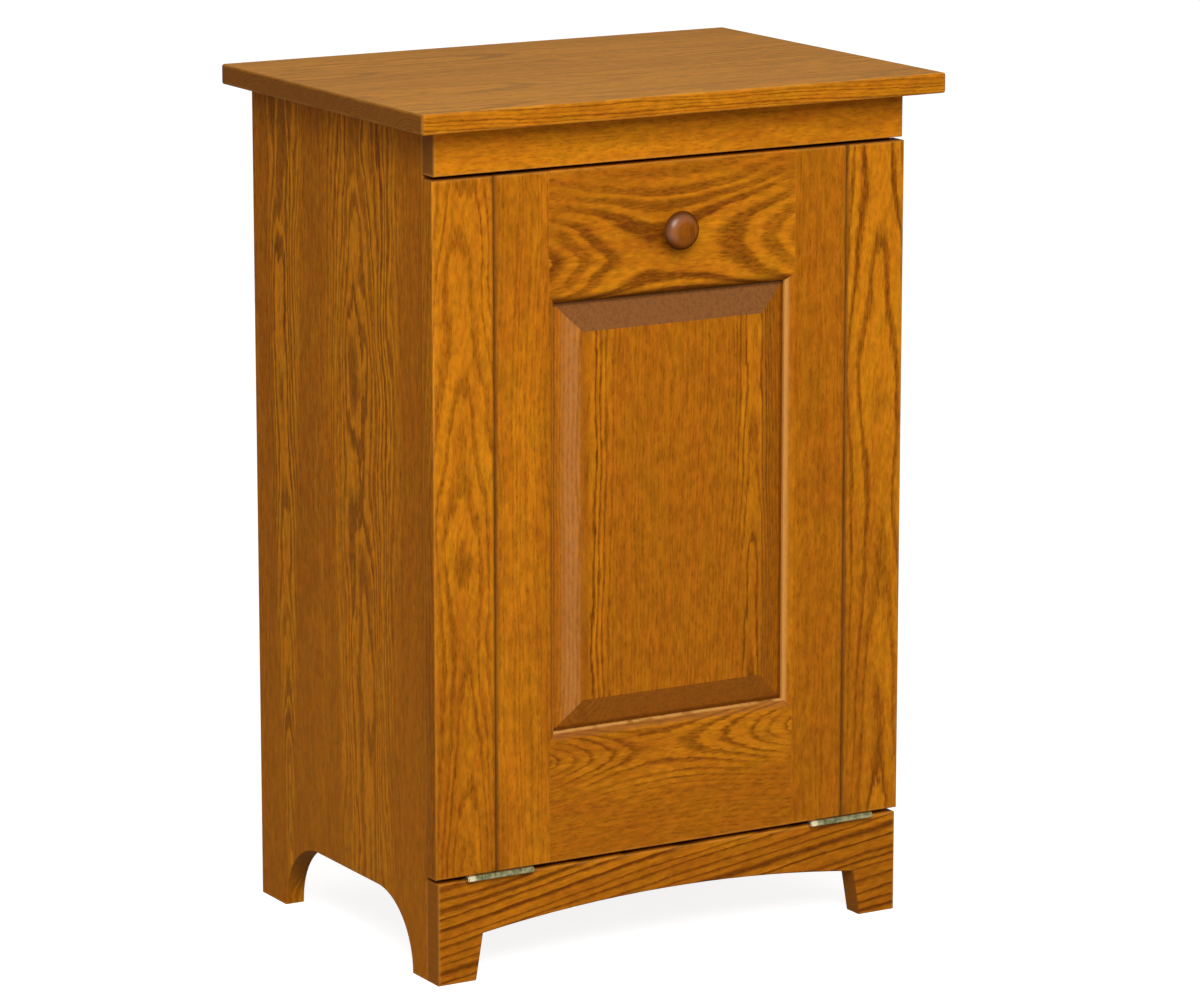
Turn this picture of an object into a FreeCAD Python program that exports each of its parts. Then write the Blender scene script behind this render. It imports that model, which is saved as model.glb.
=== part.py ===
import FreeCAD, Part
import math
import os
import Sketcher

# Tilt-out trash bin cabinet in stained oak. A fixed top rail and a fixed apron are glued over the front
# edges of two arched side panels. Between them a framed raised-panel front tilts forward on two butt
# hinges and carries a plywood cradle with a loose plastic bin.
# Frame: +Z up, front toward -Y, origin on the floor under the middle of the top board, millimetres.

doc = FreeCAD.newDocument("tilt_out_bin_cabinet")

# Driving dimensions, one cell each.
SIZES = {
    # case
    "cabinet_height": 762,
    "case_width": 468,
    "side_depth": 316.5,
    "side_thickness": 18,
    "front_thickness": 20,
    "top_thickness": 18,
    "top_side_overhang": 26,
    "top_front_overhang": 28.5,
    "top_back_overhang": 7,
    "top_edge_radius": 2.2,
    "eased_edge": 1,
    "rail_height": 40,
    "apron_height": 91,
    "apron_foot_width": 37,
    "apron_foot_flare": 7,
    "apron_foot_height": 41.5,
    "apron_arch_rise": 13.5,
    "side_foot_depth": 47.5,
    "side_arch_radius": 64,
    "bottom_thickness": 12,
    "bottom_above_arch": 5,
    "back_thickness": 6,
    "housing_depth": 7,
    "cleat_width": 18,
    "cleat_height": 13,
    "cleat_setback": 45,
    "stretcher_thickness": 18,
    "stretcher_height": 60,
    "block_width": 21,
    "block_height": 25,
    # door
    "door_side_overhang": 2,
    "door_top_gap": 3.2,
    "hinge_gap": 3.8,
    "bumper_thickness": 1.5,
    "bumper_diameter": 8,
    "bumper_inset": 26,
    "door_thickness": 18.5,
    "door_edge_radius": 1.2,
    "outer_stile_width": 59.5,
    "stile_width": 53,
    "door_top_rail_height": 107.5,
    "door_bottom_rail_height": 108,
    "seam_chamfer": 1.3,
    "sticking_width": 7,
    "sticking_depth": 6,
    "sticking_radius": 11,
    "groove_setback": 8.6,
    "groove_width": 6,
    "groove_depth": 9,
    "tenon_relief": 0.3,
    "panel_slack": 0.1,
    "panel_float": 1.2,
    "panel_lip_gap": 0.4,
    "panel_field_margin": 33.5,
    # knob
    "knob_drop": 59,
    "knob_diameter": 34,
    "knob_projection": 21.5,
    "knob_face_diameter": 22,
    "knob_face_dome": 2,
    "knob_rim_radius": 9.6,
    "knob_foot_diameter": 17,
    "knob_foot_length": 2,
    "knob_neck_diameter": 14,
    "knob_neck_length": 5.5,
    "knob_brim_length": 12.5,
    "knob_screw_diameter": 4,
    "knob_screw_head": 8.5,
    "knob_screw_head_height": 2.4,
    "knob_screw_length": 32,
    # butt hinges
    "hinge_length": 63.5,
    "hinge_spacing": 349,
    "hinge_knuckles": 5,
    "leaf_depth": 16,
    "leaf_thickness": 1.5,
    "knuckle_diameter": 6,
    "knuckle_clearance": 0.3,
    "pin_diameter": 3,
    "pin_clearance": 0.05,
    "pin_offset": 2.5,
    "pin_head_diameter": 4.4,
    "pin_head_length": 0.9,
    "hinge_screw_diameter": 2.8,
    "hinge_screw_head": 5.6,
    "hinge_screw_length": 16,
    "hinge_screw_spread": 22,
    "hinge_screw_stagger": 3,
    # cradle behind the door
    "cradle_width": 400,
    "cradle_board": 12,
    "cradle_lift": 12,
    "cradle_back_gap": 10,
    "cradle_front_height": 300,
    "cradle_neck_width": 68,
    "cradle_sweep_radius": 150,
    "hook_width": 25.5,
    "hook_rise": 16,
    "hook_clearance": 0.5,
    "ledge_clearance": 1.5,
    "cradle_cleat_width": 22,
    "cradle_cleat_depth": 18,
    "cradle_cleat_height": 230,
    "lower_slat_height": 90,
    "upper_slat_height": 50,
    "upper_slat_drop": 8,
    # loose bin
    "bin_width": 366,
    "bin_depth": 236,
    "bin_height": 450,
    "bin_rim_width": 8,
    "bin_rim_height": 12,
    "bin_wall": 2.2,
    "bin_width_taper": 30,
    "bin_depth_taper": 20,
    "bin_corner_radius": 45,
    "bin_base_radius": 32,
    "bin_front_gap": 9,
    "bin_slat_gap": 4,
    # magnetic catches
    "catch_drop": 45,
    "catch_height": 46,
    "catch_body_height": 26,
    "catch_depth": 15,
    "catch_thickness": 12,
    "catch_flange_thickness": 3,
    "magnet_height": 20,
    "magnet_thickness": 7,
    "magnet_depth": 11,
    "magnet_gap": 0.3,
    "strike_width": 12,
    "strike_height": 38,
    "strike_thickness": 1,
    "small_screw_diameter": 2.4,
    "small_screw_head": 4.8,
    "small_screw_length": 12,
    "small_screw_spread": 36,
    "strike_screw_spread": 26,
    # wood screws and nails
    "screw_diameter": 3.5,
    "screw_head": 7,
    "top_screw_length": 25,
    "cleat_screw_length": 28,
    "cradle_screw_length": 35,
    "stile_screw_length": 30,
    "recess_width": 0.9,
    "recess_depth": 1,
    "recess_reach": 0.6,
    "nail_diameter": 1.6,
    "nail_head": 4.5,
    "nail_head_height": 0.7,
    "nail_length": 18,
}
dims = doc.addObject("Spreadsheet::Sheet", "dims")
for row, (alias, size) in enumerate(SIZES.items(), start=1):
    dims.set(f"A{row}", alias)
    dims.set(f"B{row}", str(size))
    dims.setAlias(f"B{row}", alias)
doc.recompute()

# Planes and lines that several pieces share, worked out from the driving dimensions.
LAYOUT = {
    "half_case": "dims.case_width / 2",
    "inner_half": "layout.half_case - dims.side_thickness",
    "half_top": "layout.half_case + dims.top_side_overhang",
    "top_back": "(dims.top_front_overhang + dims.front_thickness + dims.side_depth"
                " + dims.top_back_overhang) / 2",
    "top_front": "-layout.top_back",
    "front_face": "layout.top_front + dims.top_front_overhang",
    "case_front": "layout.front_face + dims.front_thickness",
    "case_back": "layout.case_front + dims.side_depth",
    "back_face": "layout.case_back - dims.back_thickness",
    "top_under": "dims.cabinet_height - dims.top_thickness",
    "rail_bottom": "layout.top_under - dims.rail_height",
    "bottom_under": "dims.side_arch_radius + dims.bottom_above_arch",
    "bottom_upper": "layout.bottom_under + dims.bottom_thickness",
    "stretcher_face": "layout.back_face - dims.stretcher_thickness",
    "cleat_front": "layout.case_front + dims.cleat_setback",
    "cleat_under": "layout.top_under - dims.cleat_height",
    # door frame
    "half_door": "layout.half_case + dims.door_side_overhang",
    "door_bottom": "dims.apron_height + dims.hinge_gap",
    "door_top": "layout.rail_bottom - dims.door_top_gap",
    "door_back": "layout.case_front - dims.bumper_thickness",
    "door_face": "layout.door_back - dims.door_thickness",
    "seam": "layout.half_door - dims.outer_stile_width",
    "opening_half": "layout.seam - dims.stile_width",
    "opening_low": "layout.door_bottom + dims.door_bottom_rail_height",
    "opening_high": "layout.door_top - dims.door_top_rail_height",
    "sight_half": "layout.opening_half - dims.sticking_width",
    "sight_low": "layout.opening_low + dims.sticking_width",
    "sight_high": "layout.opening_high - dims.sticking_width",
    "groove_front": "layout.door_face + dims.groove_setback",
    "groove_back": "layout.groove_front + dims.groove_width",
    "tenon": "dims.groove_depth - dims.tenon_relief",
    "tongue": "dims.groove_depth - dims.panel_float",
    "knob_level": "layout.door_top - dims.knob_drop",
    # hinge axis
    "pivot_y": "min(layout.front_face; layout.door_face) - dims.pin_offset",
    "pivot_z": "dims.apron_height + dims.hinge_gap / 2",
    # cradle, and the tilt at which its hooks meet the back of the fixed top rail
    "cradle_half": "dims.cradle_width / 2",
    "cradle_inner": "layout.cradle_half - dims.cradle_board",
    "cradle_under": "layout.door_bottom + dims.cradle_lift",
    "cradle_floor": "layout.cradle_under + dims.cradle_board",
    "cradle_back": "layout.back_face - dims.cradle_back_gap",
    "hook_face": "layout.cradle_back - dims.hook_width",
    "stop_reach": "layout.case_front + dims.hook_clearance - layout.pivot_y",
    "stop_rise": "layout.rail_bottom - dims.ledge_clearance - layout.pivot_z",
    "hook_reach": "layout.hook_face - layout.pivot_y",
    "stop_radius": "sqrt(layout.stop_reach ^ 2 + layout.stop_rise ^ 2)",
    "hook_height": "sqrt(layout.stop_radius ^ 2 - layout.hook_reach ^ 2)",
    "tilt_sine": "(layout.hook_reach * layout.stop_rise - layout.hook_height * layout.stop_reach)"
                 " / layout.stop_radius ^ 2",
    "tilt_cosine": "(layout.hook_height * layout.stop_rise + layout.hook_reach * layout.stop_reach)"
                   " / layout.stop_radius ^ 2",
    "ledge": "layout.pivot_z + layout.hook_height",
    "hook_top": "layout.ledge + dims.hook_rise",
    "hook_tip": "layout.hook_face + dims.hook_rise * layout.tilt_sine / layout.tilt_cosine",
    "cradle_shoulder": "layout.cradle_under + dims.cradle_front_height",
    "cleat_inner": "layout.cradle_inner - dims.cradle_cleat_width",
    # bin
    "bin_front": "layout.door_back + dims.bin_front_gap",
    "bin_back": "layout.bin_front + dims.bin_depth",
    "bin_top": "layout.cradle_floor + dims.bin_height",
    "slat_face": "layout.bin_back + dims.bin_slat_gap",
    "slat_back": "layout.slat_face + dims.cradle_board",
    "neck_face": "min(layout.cradle_back - dims.cradle_neck_width; layout.slat_face - dims.cradle_board)",
    "upper_slat_top": "min(layout.bin_top; layout.ledge) - dims.upper_slat_drop",
    # catches
    "catch_level": "layout.door_top - dims.catch_drop",
    "catch_inner": "layout.inner_half - dims.catch_thickness",
    "catch_middle": "layout.inner_half - dims.catch_thickness / 2",
    "strike_face": "layout.door_back + dims.strike_thickness",
    "magnet_face": "layout.strike_face + dims.magnet_gap",
}
layout = doc.addObject("App::VarSet", "layout")
for plane, formula in LAYOUT.items():
    layout.addProperty("App::PropertyFloat", plane, "Layout", "")
    layout.setExpression(plane, formula)
    doc.recompute()

SIDES = (("left", -1), ("right", 1))
TOLERANCE = 0.01
AHEAD = FreeCAD.Vector(0, -1, 0)
BEHIND = FreeCAD.Vector(0, 1, 0)
UP = FreeCAD.Vector(0, 0, 1)
DOWN = FreeCAD.Vector(0, 0, -1)
ALONG_X = FreeCAD.Rotation(BEHIND, 90)
finished = []


def value(formula):
    """Number that a formula of the sheet gives now."""
    return float(layout.evalExpression(formula))


def spot(across, along, up):
    """Point whose three coordinates are formulas of the sheet."""
    return FreeCAD.Vector(value(across), value(along), value(up))


def node(label, shape_object):
    """Finished piece of the cabinet, under the name it is written with."""
    shape_object.Label = label
    finished.append(shape_object)
    return shape_object


def board(label, across, along, up):
    """Plain board between two planes on each axis."""
    box = doc.addObject("Part::Box", label)
    for size, axis, (low, high) in zip(("Length", "Width", "Height"), "xyz", (across, along, up)):
        box.setExpression(f"Placement.Base.{axis}", low)
        box.setExpression(size, f"({high}) - ({low})")
    return box


def bar(label, start, length, diameter, along, up):
    """Round bar along X from the start plane."""
    rod = doc.addObject("Part::Cylinder", label)
    rod.Placement.Rotation = ALONG_X
    rod.setExpression("Placement.Base.x", start)
    rod.setExpression("Placement.Base.y", along)
    rod.setExpression("Placement.Base.z", up)
    rod.setExpression("Radius", f"({diameter}) / 2")
    rod.setExpression("Height", length)
    return rod


def joined(label, pieces):
    """One piece made of several that touch."""
    union = doc.addObject("Part::MultiFuse", label)
    union.Shapes = pieces
    union.Refine = True
    return union


def fitted(label, blank, inserts):
    """Blank with a housing cut for each piece that enters it."""
    for insert in inserts:
        cut = doc.addObject("Part::Cut", f"{label}_cut")
        cut.Base = blank
        cut.Tool = insert
        blank = cut
    return blank


def rectangle(left, right, low, high):
    """Corners of a rectangular outline."""
    return [(left, low), (right, low), (right, high), (left, high)]


def rounded(half_across, half_up, radius):
    """Corners of a rectangular outline about the origin, with round corners."""
    flat_across = f"({half_across}) - ({radius})"
    flat_up = f"({half_up}) - ({radius})"
    return [
        (flat_across, f"-({half_up})"),
        (half_across, f"-({flat_up})", radius, "left"),
        (half_across, flat_up),
        (flat_across, half_up, radius, "left"),
        (f"-({flat_across})", half_up),
        (f"-({half_across})", flat_up, radius, "left"),
        (f"-({half_across})", f"-({flat_up})"),
        (f"-({flat_across})", f"-({half_up})", radius, "left"),
    ]


def mirrored(path):
    """The same outline on the other side of the middle."""
    flipped = {"left": "right", "right": "left"}
    turned = []
    for corner in path:
        arc = corner[2:]
        if arc:
            arc = (arc[0], flipped[arc[1]])
        turned.append((f"-({corner[0]})", corner[1], *arc))
    return turned


def arc_between(start, end, radius, turn):
    """Arc from start to end that turns left or right on the way."""
    chord = end - start
    rise = math.sqrt(max(radius ** 2 - chord.Length ** 2 / 4, 0))
    to_left = FreeCAD.Vector(-chord.y, chord.x, 0).normalize()
    if turn == "right":
        start, end = end, start
        to_left = -to_left
    centre = (start + end) / 2 + to_left * rise
    first = math.atan2(start.y - centre.y, start.x - centre.x)
    last = math.atan2(end.y - centre.y, end.x - centre.x)
    return Part.ArcOfCircle(Part.Circle(centre, UP, radius), first, last)


def outline(sketch, path):
    """Closed outline held by its corners. A corner with a radius and a turn is reached along an arc."""
    corners = [FreeCAD.Vector(value(corner[0]), value(corner[1]), 0) for corner in path]
    first = sketch.GeometryCount
    starts = []
    ends = []
    for index, corner in enumerate(corners):
        target = (index + 1) % len(path)
        arc = path[target][2:]
        if arc:
            side = sketch.addGeometry(arc_between(corner, corners[target], value(arc[0]), arc[1]))
            bend = sketch.addConstraint(Sketcher.Constraint("Radius", side, value(arc[0])))
            sketch.setExpression(f"Constraints[{bend}]", arc[0])
            runs_back = arc[1] == "right"
        else:
            sketch.addGeometry(Part.LineSegment(corner, corners[target]))
            runs_back = False
        starts.append(2 if runs_back else 1)
        ends.append(1 if runs_back else 2)
    for index in range(len(path)):
        after = (index + 1) % len(path)
        sketch.addConstraint(
            Sketcher.Constraint("Coincident", first + index, ends[index], first + after, starts[after]))
    for index, corner in enumerate(corners):
        for kind, distance, formula in zip(("DistanceX", "DistanceY"), corner, path[index]):
            held = sketch.addConstraint(
                Sketcher.Constraint(kind, -1, 1, first + index, starts[index], distance))
            sketch.setExpression(f"Constraints[{held}]", formula)


def drawn(body, role, paths, level):
    """Sketch of closed outlines, parallel to one of the body's own planes at the given level."""
    plane = [feature for feature in body.Origin.OriginFeatures if feature.Role == role][0]
    sketch = body.newObject("Sketcher::SketchObject", f"{body.Label}_sketch")
    sketch.AttachmentSupport = (plane, [""])
    sketch.MapMode = "FlatFace"
    sketch.setExpression("AttachmentOffset.Base.z", level)
    for path in paths:
        outline(sketch, path)
    return sketch


def thicken(body, sketch, length):
    """Pad of a sketch along its own normal."""
    pad = body.newObject("PartDesign::Pad", f"{body.Label}_pad")
    pad.Profile = sketch
    pad.setExpression("Length", length)
    body.Tip = pad


def shaped(label, role, path, level, length):
    """Board sawn to an outline and as thick as the given length."""
    body = doc.addObject("PartDesign::Body", label)
    thicken(body, drawn(body, role, [path], level), length)
    return body


def lies_on(edge, axis, formula):
    """Whether a whole edge lies on the plane at the given level."""
    level = value(formula)
    box = edge.BoundBox
    low = getattr(box, f"{axis}Min")
    high = getattr(box, f"{axis}Max")
    return abs(low - level) < TOLERANCE and abs(high - level) < TOLERANCE


def eased(body, radius, chosen):
    """Rounds the edges of a body that pass the test."""
    doc.recompute()
    base = body.Tip
    names = [f"Edge{index}" for index, edge in enumerate(base.Shape.Edges, start=1) if chosen(edge)]
    fillet = body.newObject("PartDesign::Fillet", f"{body.Label}_eased")
    fillet.Base = (base, names)
    fillet.setExpression("Radius", radius)
    body.Tip = fillet
    return body


def turned(profile):
    """Solid of revolution about Z from (radius, height) points."""
    points = [FreeCAD.Vector(radius, 0, height) for radius, height in profile]
    face = Part.Face(Part.makePolygon(points + points[:1]))
    return face.revolve(FreeCAD.Vector(), UP, 360)


def cross_recess(head, top):
    """Cross-shaped driver recess below the top of a screw head."""
    width = value("dims.recess_width")
    reach = head * value("dims.recess_reach")
    depth = value("dims.recess_depth")
    low = top - depth
    bars = [Part.makeBox(reach, width, depth, FreeCAD.Vector(-reach / 2, -width / 2, low)),
            Part.makeBox(width, reach, depth, FreeCAD.Vector(-width / 2, -reach / 2, low))]
    return bars[0].fuse(bars[1])


def flat_screw(length, diameter, head):
    """Countersunk screw whose head ends at the surface, and the hole that it fills."""
    shank = diameter / 2
    rim = head / 2
    sink = rim - shank
    body = turned([(0, 0), (rim, 0), (shank, -sink), (shank, diameter - length), (0, -length)])
    return body.cut(cross_recess(head, 0)), body


def pan_screw(length, diameter, head, head_height):
    """Screw or nail with a flat head on the surface, and the hole that it fills."""
    shank = diameter / 2
    rim = head / 2
    return turned([(0, head_height), (rim, head_height), (rim, 0), (shank, 0),
                   (shank, diameter - length), (0, -length)])


def fasteners(label, solid, hole, places):
    """Group of equal fasteners at (point, direction) places, and the group of their holes."""
    groups = []
    for name, shape in ((label, solid), (f"{label}_holes", hole)):
        copies = []
        for point, direction in places:
            copy = shape.copy()
            copy.Placement = FreeCAD.Placement(point, FreeCAD.Rotation(DOWN, direction))
            copies.append(copy)
        group = doc.addObject("Part::Feature", name)
        group.Shape = Part.makeCompound(copies)
        groups.append(group)
    return node(label, groups[0]), groups[1]


def spread(first, last, count):
    """Evenly spaced numbers from first to last."""
    return [first + (last - first) * index / (count - 1) for index in range(count)]


# Fasteners. Each one fills the hole that its pieces are cut with.
wood_screw_sizes = (value("dims.screw_diameter"), value("dims.screw_head"))
hinge_screw = flat_screw(
    value("dims.hinge_screw_length"), value("dims.hinge_screw_diameter"), value("dims.hinge_screw_head"))
small_screw = flat_screw(
    value("dims.small_screw_length"), value("dims.small_screw_diameter"), value("dims.small_screw_head"))
nail = pan_screw(
    value("dims.nail_length"), value("dims.nail_diameter"), value("dims.nail_head"),
    value("dims.nail_head_height"))

# Three countersunk screws hold each hinge leaf, staggered along its length.
leaf_middle = value("dims.leaf_depth") / 2
stagger = value("dims.hinge_screw_stagger")
spread_half = value("dims.hinge_screw_spread")
leaf_spots = [(-spread_half, leaf_middle + stagger), (0, leaf_middle - stagger),
              (spread_half, leaf_middle + stagger)]
case_leaf_places = []
door_leaf_places = []
for _, sign in SIDES:
    middle = sign * value("dims.hinge_spacing / 2")
    for across, inward in leaf_spots:
        case_leaf_places.append((FreeCAD.Vector(
            middle + across, value("layout.front_face") + inward,
            value("dims.apron_height + dims.leaf_thickness")), DOWN))
        door_leaf_places.append((FreeCAD.Vector(
            middle + across, value("layout.door_face") + inward,
            value("layout.door_bottom - dims.leaf_thickness")), UP))
hinge_case_screws, hinge_case_holes = fasteners("hinge_case_screws", *hinge_screw, case_leaf_places)
hinge_door_screws, hinge_door_holes = fasteners("hinge_door_screws", *hinge_screw, door_leaf_places)

# Screws up through the cleats hold the top, and screws through the cleats hold them to the sides.
TOP_SCREW_COUNT = 3
END_MARGIN = 0.12
cleat_run = (value("layout.cleat_front"), value("layout.stretcher_face"))
cleat_length = cleat_run[1] - cleat_run[0]
cleat_ends = (cleat_run[0] + END_MARGIN * cleat_length, cleat_run[1] - END_MARGIN * cleat_length)
top_stations = spread(*cleat_ends, TOP_SCREW_COUNT)
side_stations = [(before + after) / 2 for before, after in zip(top_stations, top_stations[1:])]
top_places = []
cleat_places = []
for _, sign in SIDES:
    cleat_middle = sign * value("layout.inner_half - dims.cleat_width / 2")
    cleat_face = sign * value("layout.inner_half - dims.cleat_width")
    for station in top_stations:
        top_places.append((FreeCAD.Vector(cleat_middle, station, value("layout.cleat_under")), UP))
    for station in side_stations:
        level = value("layout.top_under - dims.cleat_height / 2")
        cleat_places.append((FreeCAD.Vector(cleat_face, station, level), FreeCAD.Vector(sign, 0, 0)))
top_screws, top_holes = fasteners(
    "top_screws", *flat_screw(value("dims.top_screw_length"), *wood_screw_sizes), top_places)
cleat_screws, cleat_holes = fasteners(
    "cleat_screws", *flat_screw(value("dims.cleat_screw_length"), *wood_screw_sizes), cleat_places)

# Nails round the back panel, into both sides, the rear stretcher and the bottom.
SIDE_NAIL_COUNT = 6
CROSS_NAIL_COUNT = 3
nail_margin = value("dims.stretcher_height / 2")
nail_levels = spread(
    value("layout.bottom_upper") + nail_margin, value("layout.top_under") - nail_margin, SIDE_NAIL_COUNT)
nail_line = value("layout.inner_half + dims.housing_depth / 2")
cross_half = value("layout.inner_half / 2")
nail_spots = [(sign * nail_line, level) for _, sign in SIDES for level in nail_levels]
for level in (value("layout.bottom_under + dims.bottom_thickness / 2"),
              value("layout.top_under - dims.stretcher_height / 2")):
    nail_spots += [(across, level) for across in spread(-cross_half, cross_half, CROSS_NAIL_COUNT)]
back_nails, nail_holes = fasteners(
    "back_nails", nail, nail,
    [(FreeCAD.Vector(across, value("layout.case_back"), level), AHEAD) for across, level in nail_spots])

# Screws of the magnetic catches, into the sides, and of their strike plates, into the outer stiles.
catch_places = []
strike_places = []
catch_station = value("layout.case_front + dims.catch_depth / 2")
flange_face = value("layout.inner_half - dims.catch_flange_thickness")
for _, sign in SIDES:
    for end in (-1, 1):
        level = value("layout.catch_level") + end * value("dims.small_screw_spread / 2")
        catch_places.append(
            (FreeCAD.Vector(sign * flange_face, catch_station, level), FreeCAD.Vector(sign, 0, 0)))
        level = value("layout.catch_level") + end * value("dims.strike_screw_spread / 2")
        strike_places.append(
            (FreeCAD.Vector(sign * value("layout.catch_middle"), value("layout.strike_face"), level), AHEAD))
catch_screws, catch_holes = fasteners("catch_screws", *small_screw, catch_places)
strike_screws, strike_holes = fasteners("strike_screws", *small_screw, strike_places)

# Screws of the cradle: its front cleats to the stiles, and its sides to cleats, bottom and slats.
cleat_low = value("layout.cradle_floor")
cleat_high = value("layout.cradle_floor + dims.cradle_cleat_height")
STILE_SCREW_COUNT = 4
CLEAT_SCREW_COUNT = 2
FLOOR_SCREW_COUNT = 3
stile_levels = spread(cleat_low + value("dims.cradle_board"), cleat_high - value("dims.cradle_board"),
                      STILE_SCREW_COUNT)
stile_screw_face = value("layout.door_back + dims.cradle_cleat_depth")
quarter = value("dims.cradle_cleat_width / 4")
stile_places = []
cradle_places = []
floor_level = value("layout.cradle_under + dims.cradle_board / 2")
floor_stations = spread(value("layout.door_back + dims.cradle_lift * 3"),
                        value("layout.slat_face - dims.cradle_lift"), FLOOR_SCREW_COUNT)
cleat_station = value("layout.door_back + dims.cradle_cleat_depth / 2")
slat_station = value("layout.slat_face + dims.cradle_board / 2")
side_spots = [(station, floor_level) for station in floor_stations]
side_spots += [(cleat_station, (before + after) / 2)
               for before, after in (stile_levels[:CLEAT_SCREW_COUNT], stile_levels[-CLEAT_SCREW_COUNT:])]
for low, high in (("layout.cradle_floor", "layout.cradle_floor + dims.lower_slat_height"),
                  ("layout.upper_slat_top - dims.upper_slat_height", "layout.upper_slat_top")):
    height = value(high) - value(low)
    side_spots += [(slat_station, value(low) + height / 4), (slat_station, value(high) - height / 4)]
for _, sign in SIDES:
    cleat_centre = value("layout.cradle_inner - dims.cradle_cleat_width / 2")
    for index, level in enumerate(stile_levels):
        across = cleat_centre + (quarter if index % 2 else -quarter)
        stile_places.append((FreeCAD.Vector(sign * across, stile_screw_face, level), AHEAD))
    for station, level in side_spots:
        cradle_places.append((FreeCAD.Vector(sign * value("layout.cradle_half"), station, level),
                              FreeCAD.Vector(-sign, 0, 0)))
cradle_cleat_screws, stile_holes = fasteners(
    "cradle_cleat_screws", *flat_screw(value("dims.stile_screw_length"), *wood_screw_sizes), stile_places)
cradle_screws, cradle_holes = fasteners(
    "cradle_screws", *flat_screw(value("dims.cradle_screw_length"), *wood_screw_sizes), cradle_places)

# The knob is held by one pan-head screw from behind the door's top rail.
knob_fixing = pan_screw(
    value("dims.knob_screw_length"), value("dims.knob_screw_diameter"), value("dims.knob_screw_head"),
    value("dims.knob_screw_head_height"))
knob_recess = cross_recess(value("dims.knob_screw_head"), value("dims.knob_screw_head_height"))
knob_screw, knob_hole = fasteners(
    "knob_screw", knob_fixing.cut(knob_recess), knob_fixing,
    [(spot("0", "layout.door_back", "layout.knob_level"), AHEAD)])

# Top board, overhanging the case on all four sides, with every edge rounded over.
top_blank = shaped(
    "top_board_blank", "XY_Plane",
    rectangle("-layout.half_top", "layout.half_top", "layout.top_front", "layout.top_back"),
    "layout.top_under", "dims.top_thickness")
eased(top_blank, "dims.top_edge_radius", lambda edge: True)
node("top_board", fitted("top_board", top_blank, [top_holes]))

# Case bottom and back, housed in both sides.
housed_half = "(layout.inner_half + dims.housing_depth)"
bottom_blank = board(
    "bottom_panel_blank", (f"-{housed_half}", housed_half), ("layout.case_front", "layout.back_face"),
    ("layout.bottom_under", "layout.bottom_upper"))
back_blank = board(
    "back_panel_blank", (f"-{housed_half}", housed_half), ("layout.back_face", "layout.case_back"),
    ("layout.bottom_under", "layout.top_under"))
node("bottom_panel", fitted("bottom_panel", bottom_blank, [nail_holes]))
node("back_panel", fitted("back_panel", back_blank, [nail_holes]))

# Side panels, each cut away below in an arch that leaves two feet.
FRONT_FOOT = "(layout.case_front + dims.side_foot_depth - dims.front_thickness)"
REAR_FOOT = "(layout.case_back - dims.side_foot_depth)"
side_path = [
    ("layout.case_back", "0"),
    ("layout.case_back", "layout.top_under"),
    ("layout.case_front", "layout.top_under"),
    ("layout.case_front", "0"),
    (FRONT_FOOT, "0"),
    (f"{FRONT_FOOT} + dims.side_arch_radius", "dims.side_arch_radius", "dims.side_arch_radius", "right"),
    (f"{REAR_FOOT} - dims.side_arch_radius", "dims.side_arch_radius"),
    (REAR_FOOT, "0", "dims.side_arch_radius", "right"),
]
for name, sign in SIDES:
    outer_face = f"{sign} * layout.half_case"
    start = f"min({outer_face}; {sign} * layout.inner_half)"
    side_blank = shaped(f"{name}_side_blank", "YZ_Plane", side_path, start, "dims.side_thickness")
    eased(side_blank, "dims.eased_edge",
          lambda edge: lies_on(edge, "X", outer_face) and not (
              lies_on(edge, "Z", "layout.top_under") or lies_on(edge, "Z", "0")))
    node(f"{name}_side", fitted(
        f"{name}_side", side_blank, [bottom_blank, back_blank, cleat_holes, catch_holes, nail_holes]))

# Fixed rail under the top, and the apron with its shallow arch and two tapered feet. Both cover the
# front edges of the sides.
rail_blank = shaped(
    "front_rail", "XZ_Plane",
    rectangle("-layout.half_case", "layout.half_case", "layout.rail_bottom", "layout.top_under"),
    "-layout.case_front", "dims.front_thickness")
eased(rail_blank, "dims.eased_edge",
      lambda edge: lies_on(edge, "Y", "layout.front_face") and not lies_on(edge, "Z", "layout.top_under"))
node("front_rail", rail_blank)

FOOT_TOE = "(layout.half_case - dims.apron_foot_width)"
ARCH_HALF = f"({FOOT_TOE} - dims.apron_foot_flare)"
ARCH_RADIUS = f"(({ARCH_HALF} ^ 2 + dims.apron_arch_rise ^ 2) / (2 * dims.apron_arch_rise))"
apron_path = [
    ("-layout.half_case", "0"),
    (f"-{FOOT_TOE}", "0"),
    (f"-{ARCH_HALF}", "dims.apron_foot_height"),
    (ARCH_HALF, "dims.apron_foot_height", ARCH_RADIUS, "right"),
    (FOOT_TOE, "0"),
    ("layout.half_case", "0"),
    ("layout.half_case", "dims.apron_height"),
    ("-layout.half_case", "dims.apron_height"),
]
apron_blank = shaped(
    "front_apron_blank", "XZ_Plane", apron_path, "-layout.case_front", "dims.front_thickness")
eased(apron_blank, "dims.eased_edge", lambda edge: lies_on(edge, "Y", "layout.front_face"))
node("front_apron", fitted("front_apron", apron_blank, [hinge_case_holes]))

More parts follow.
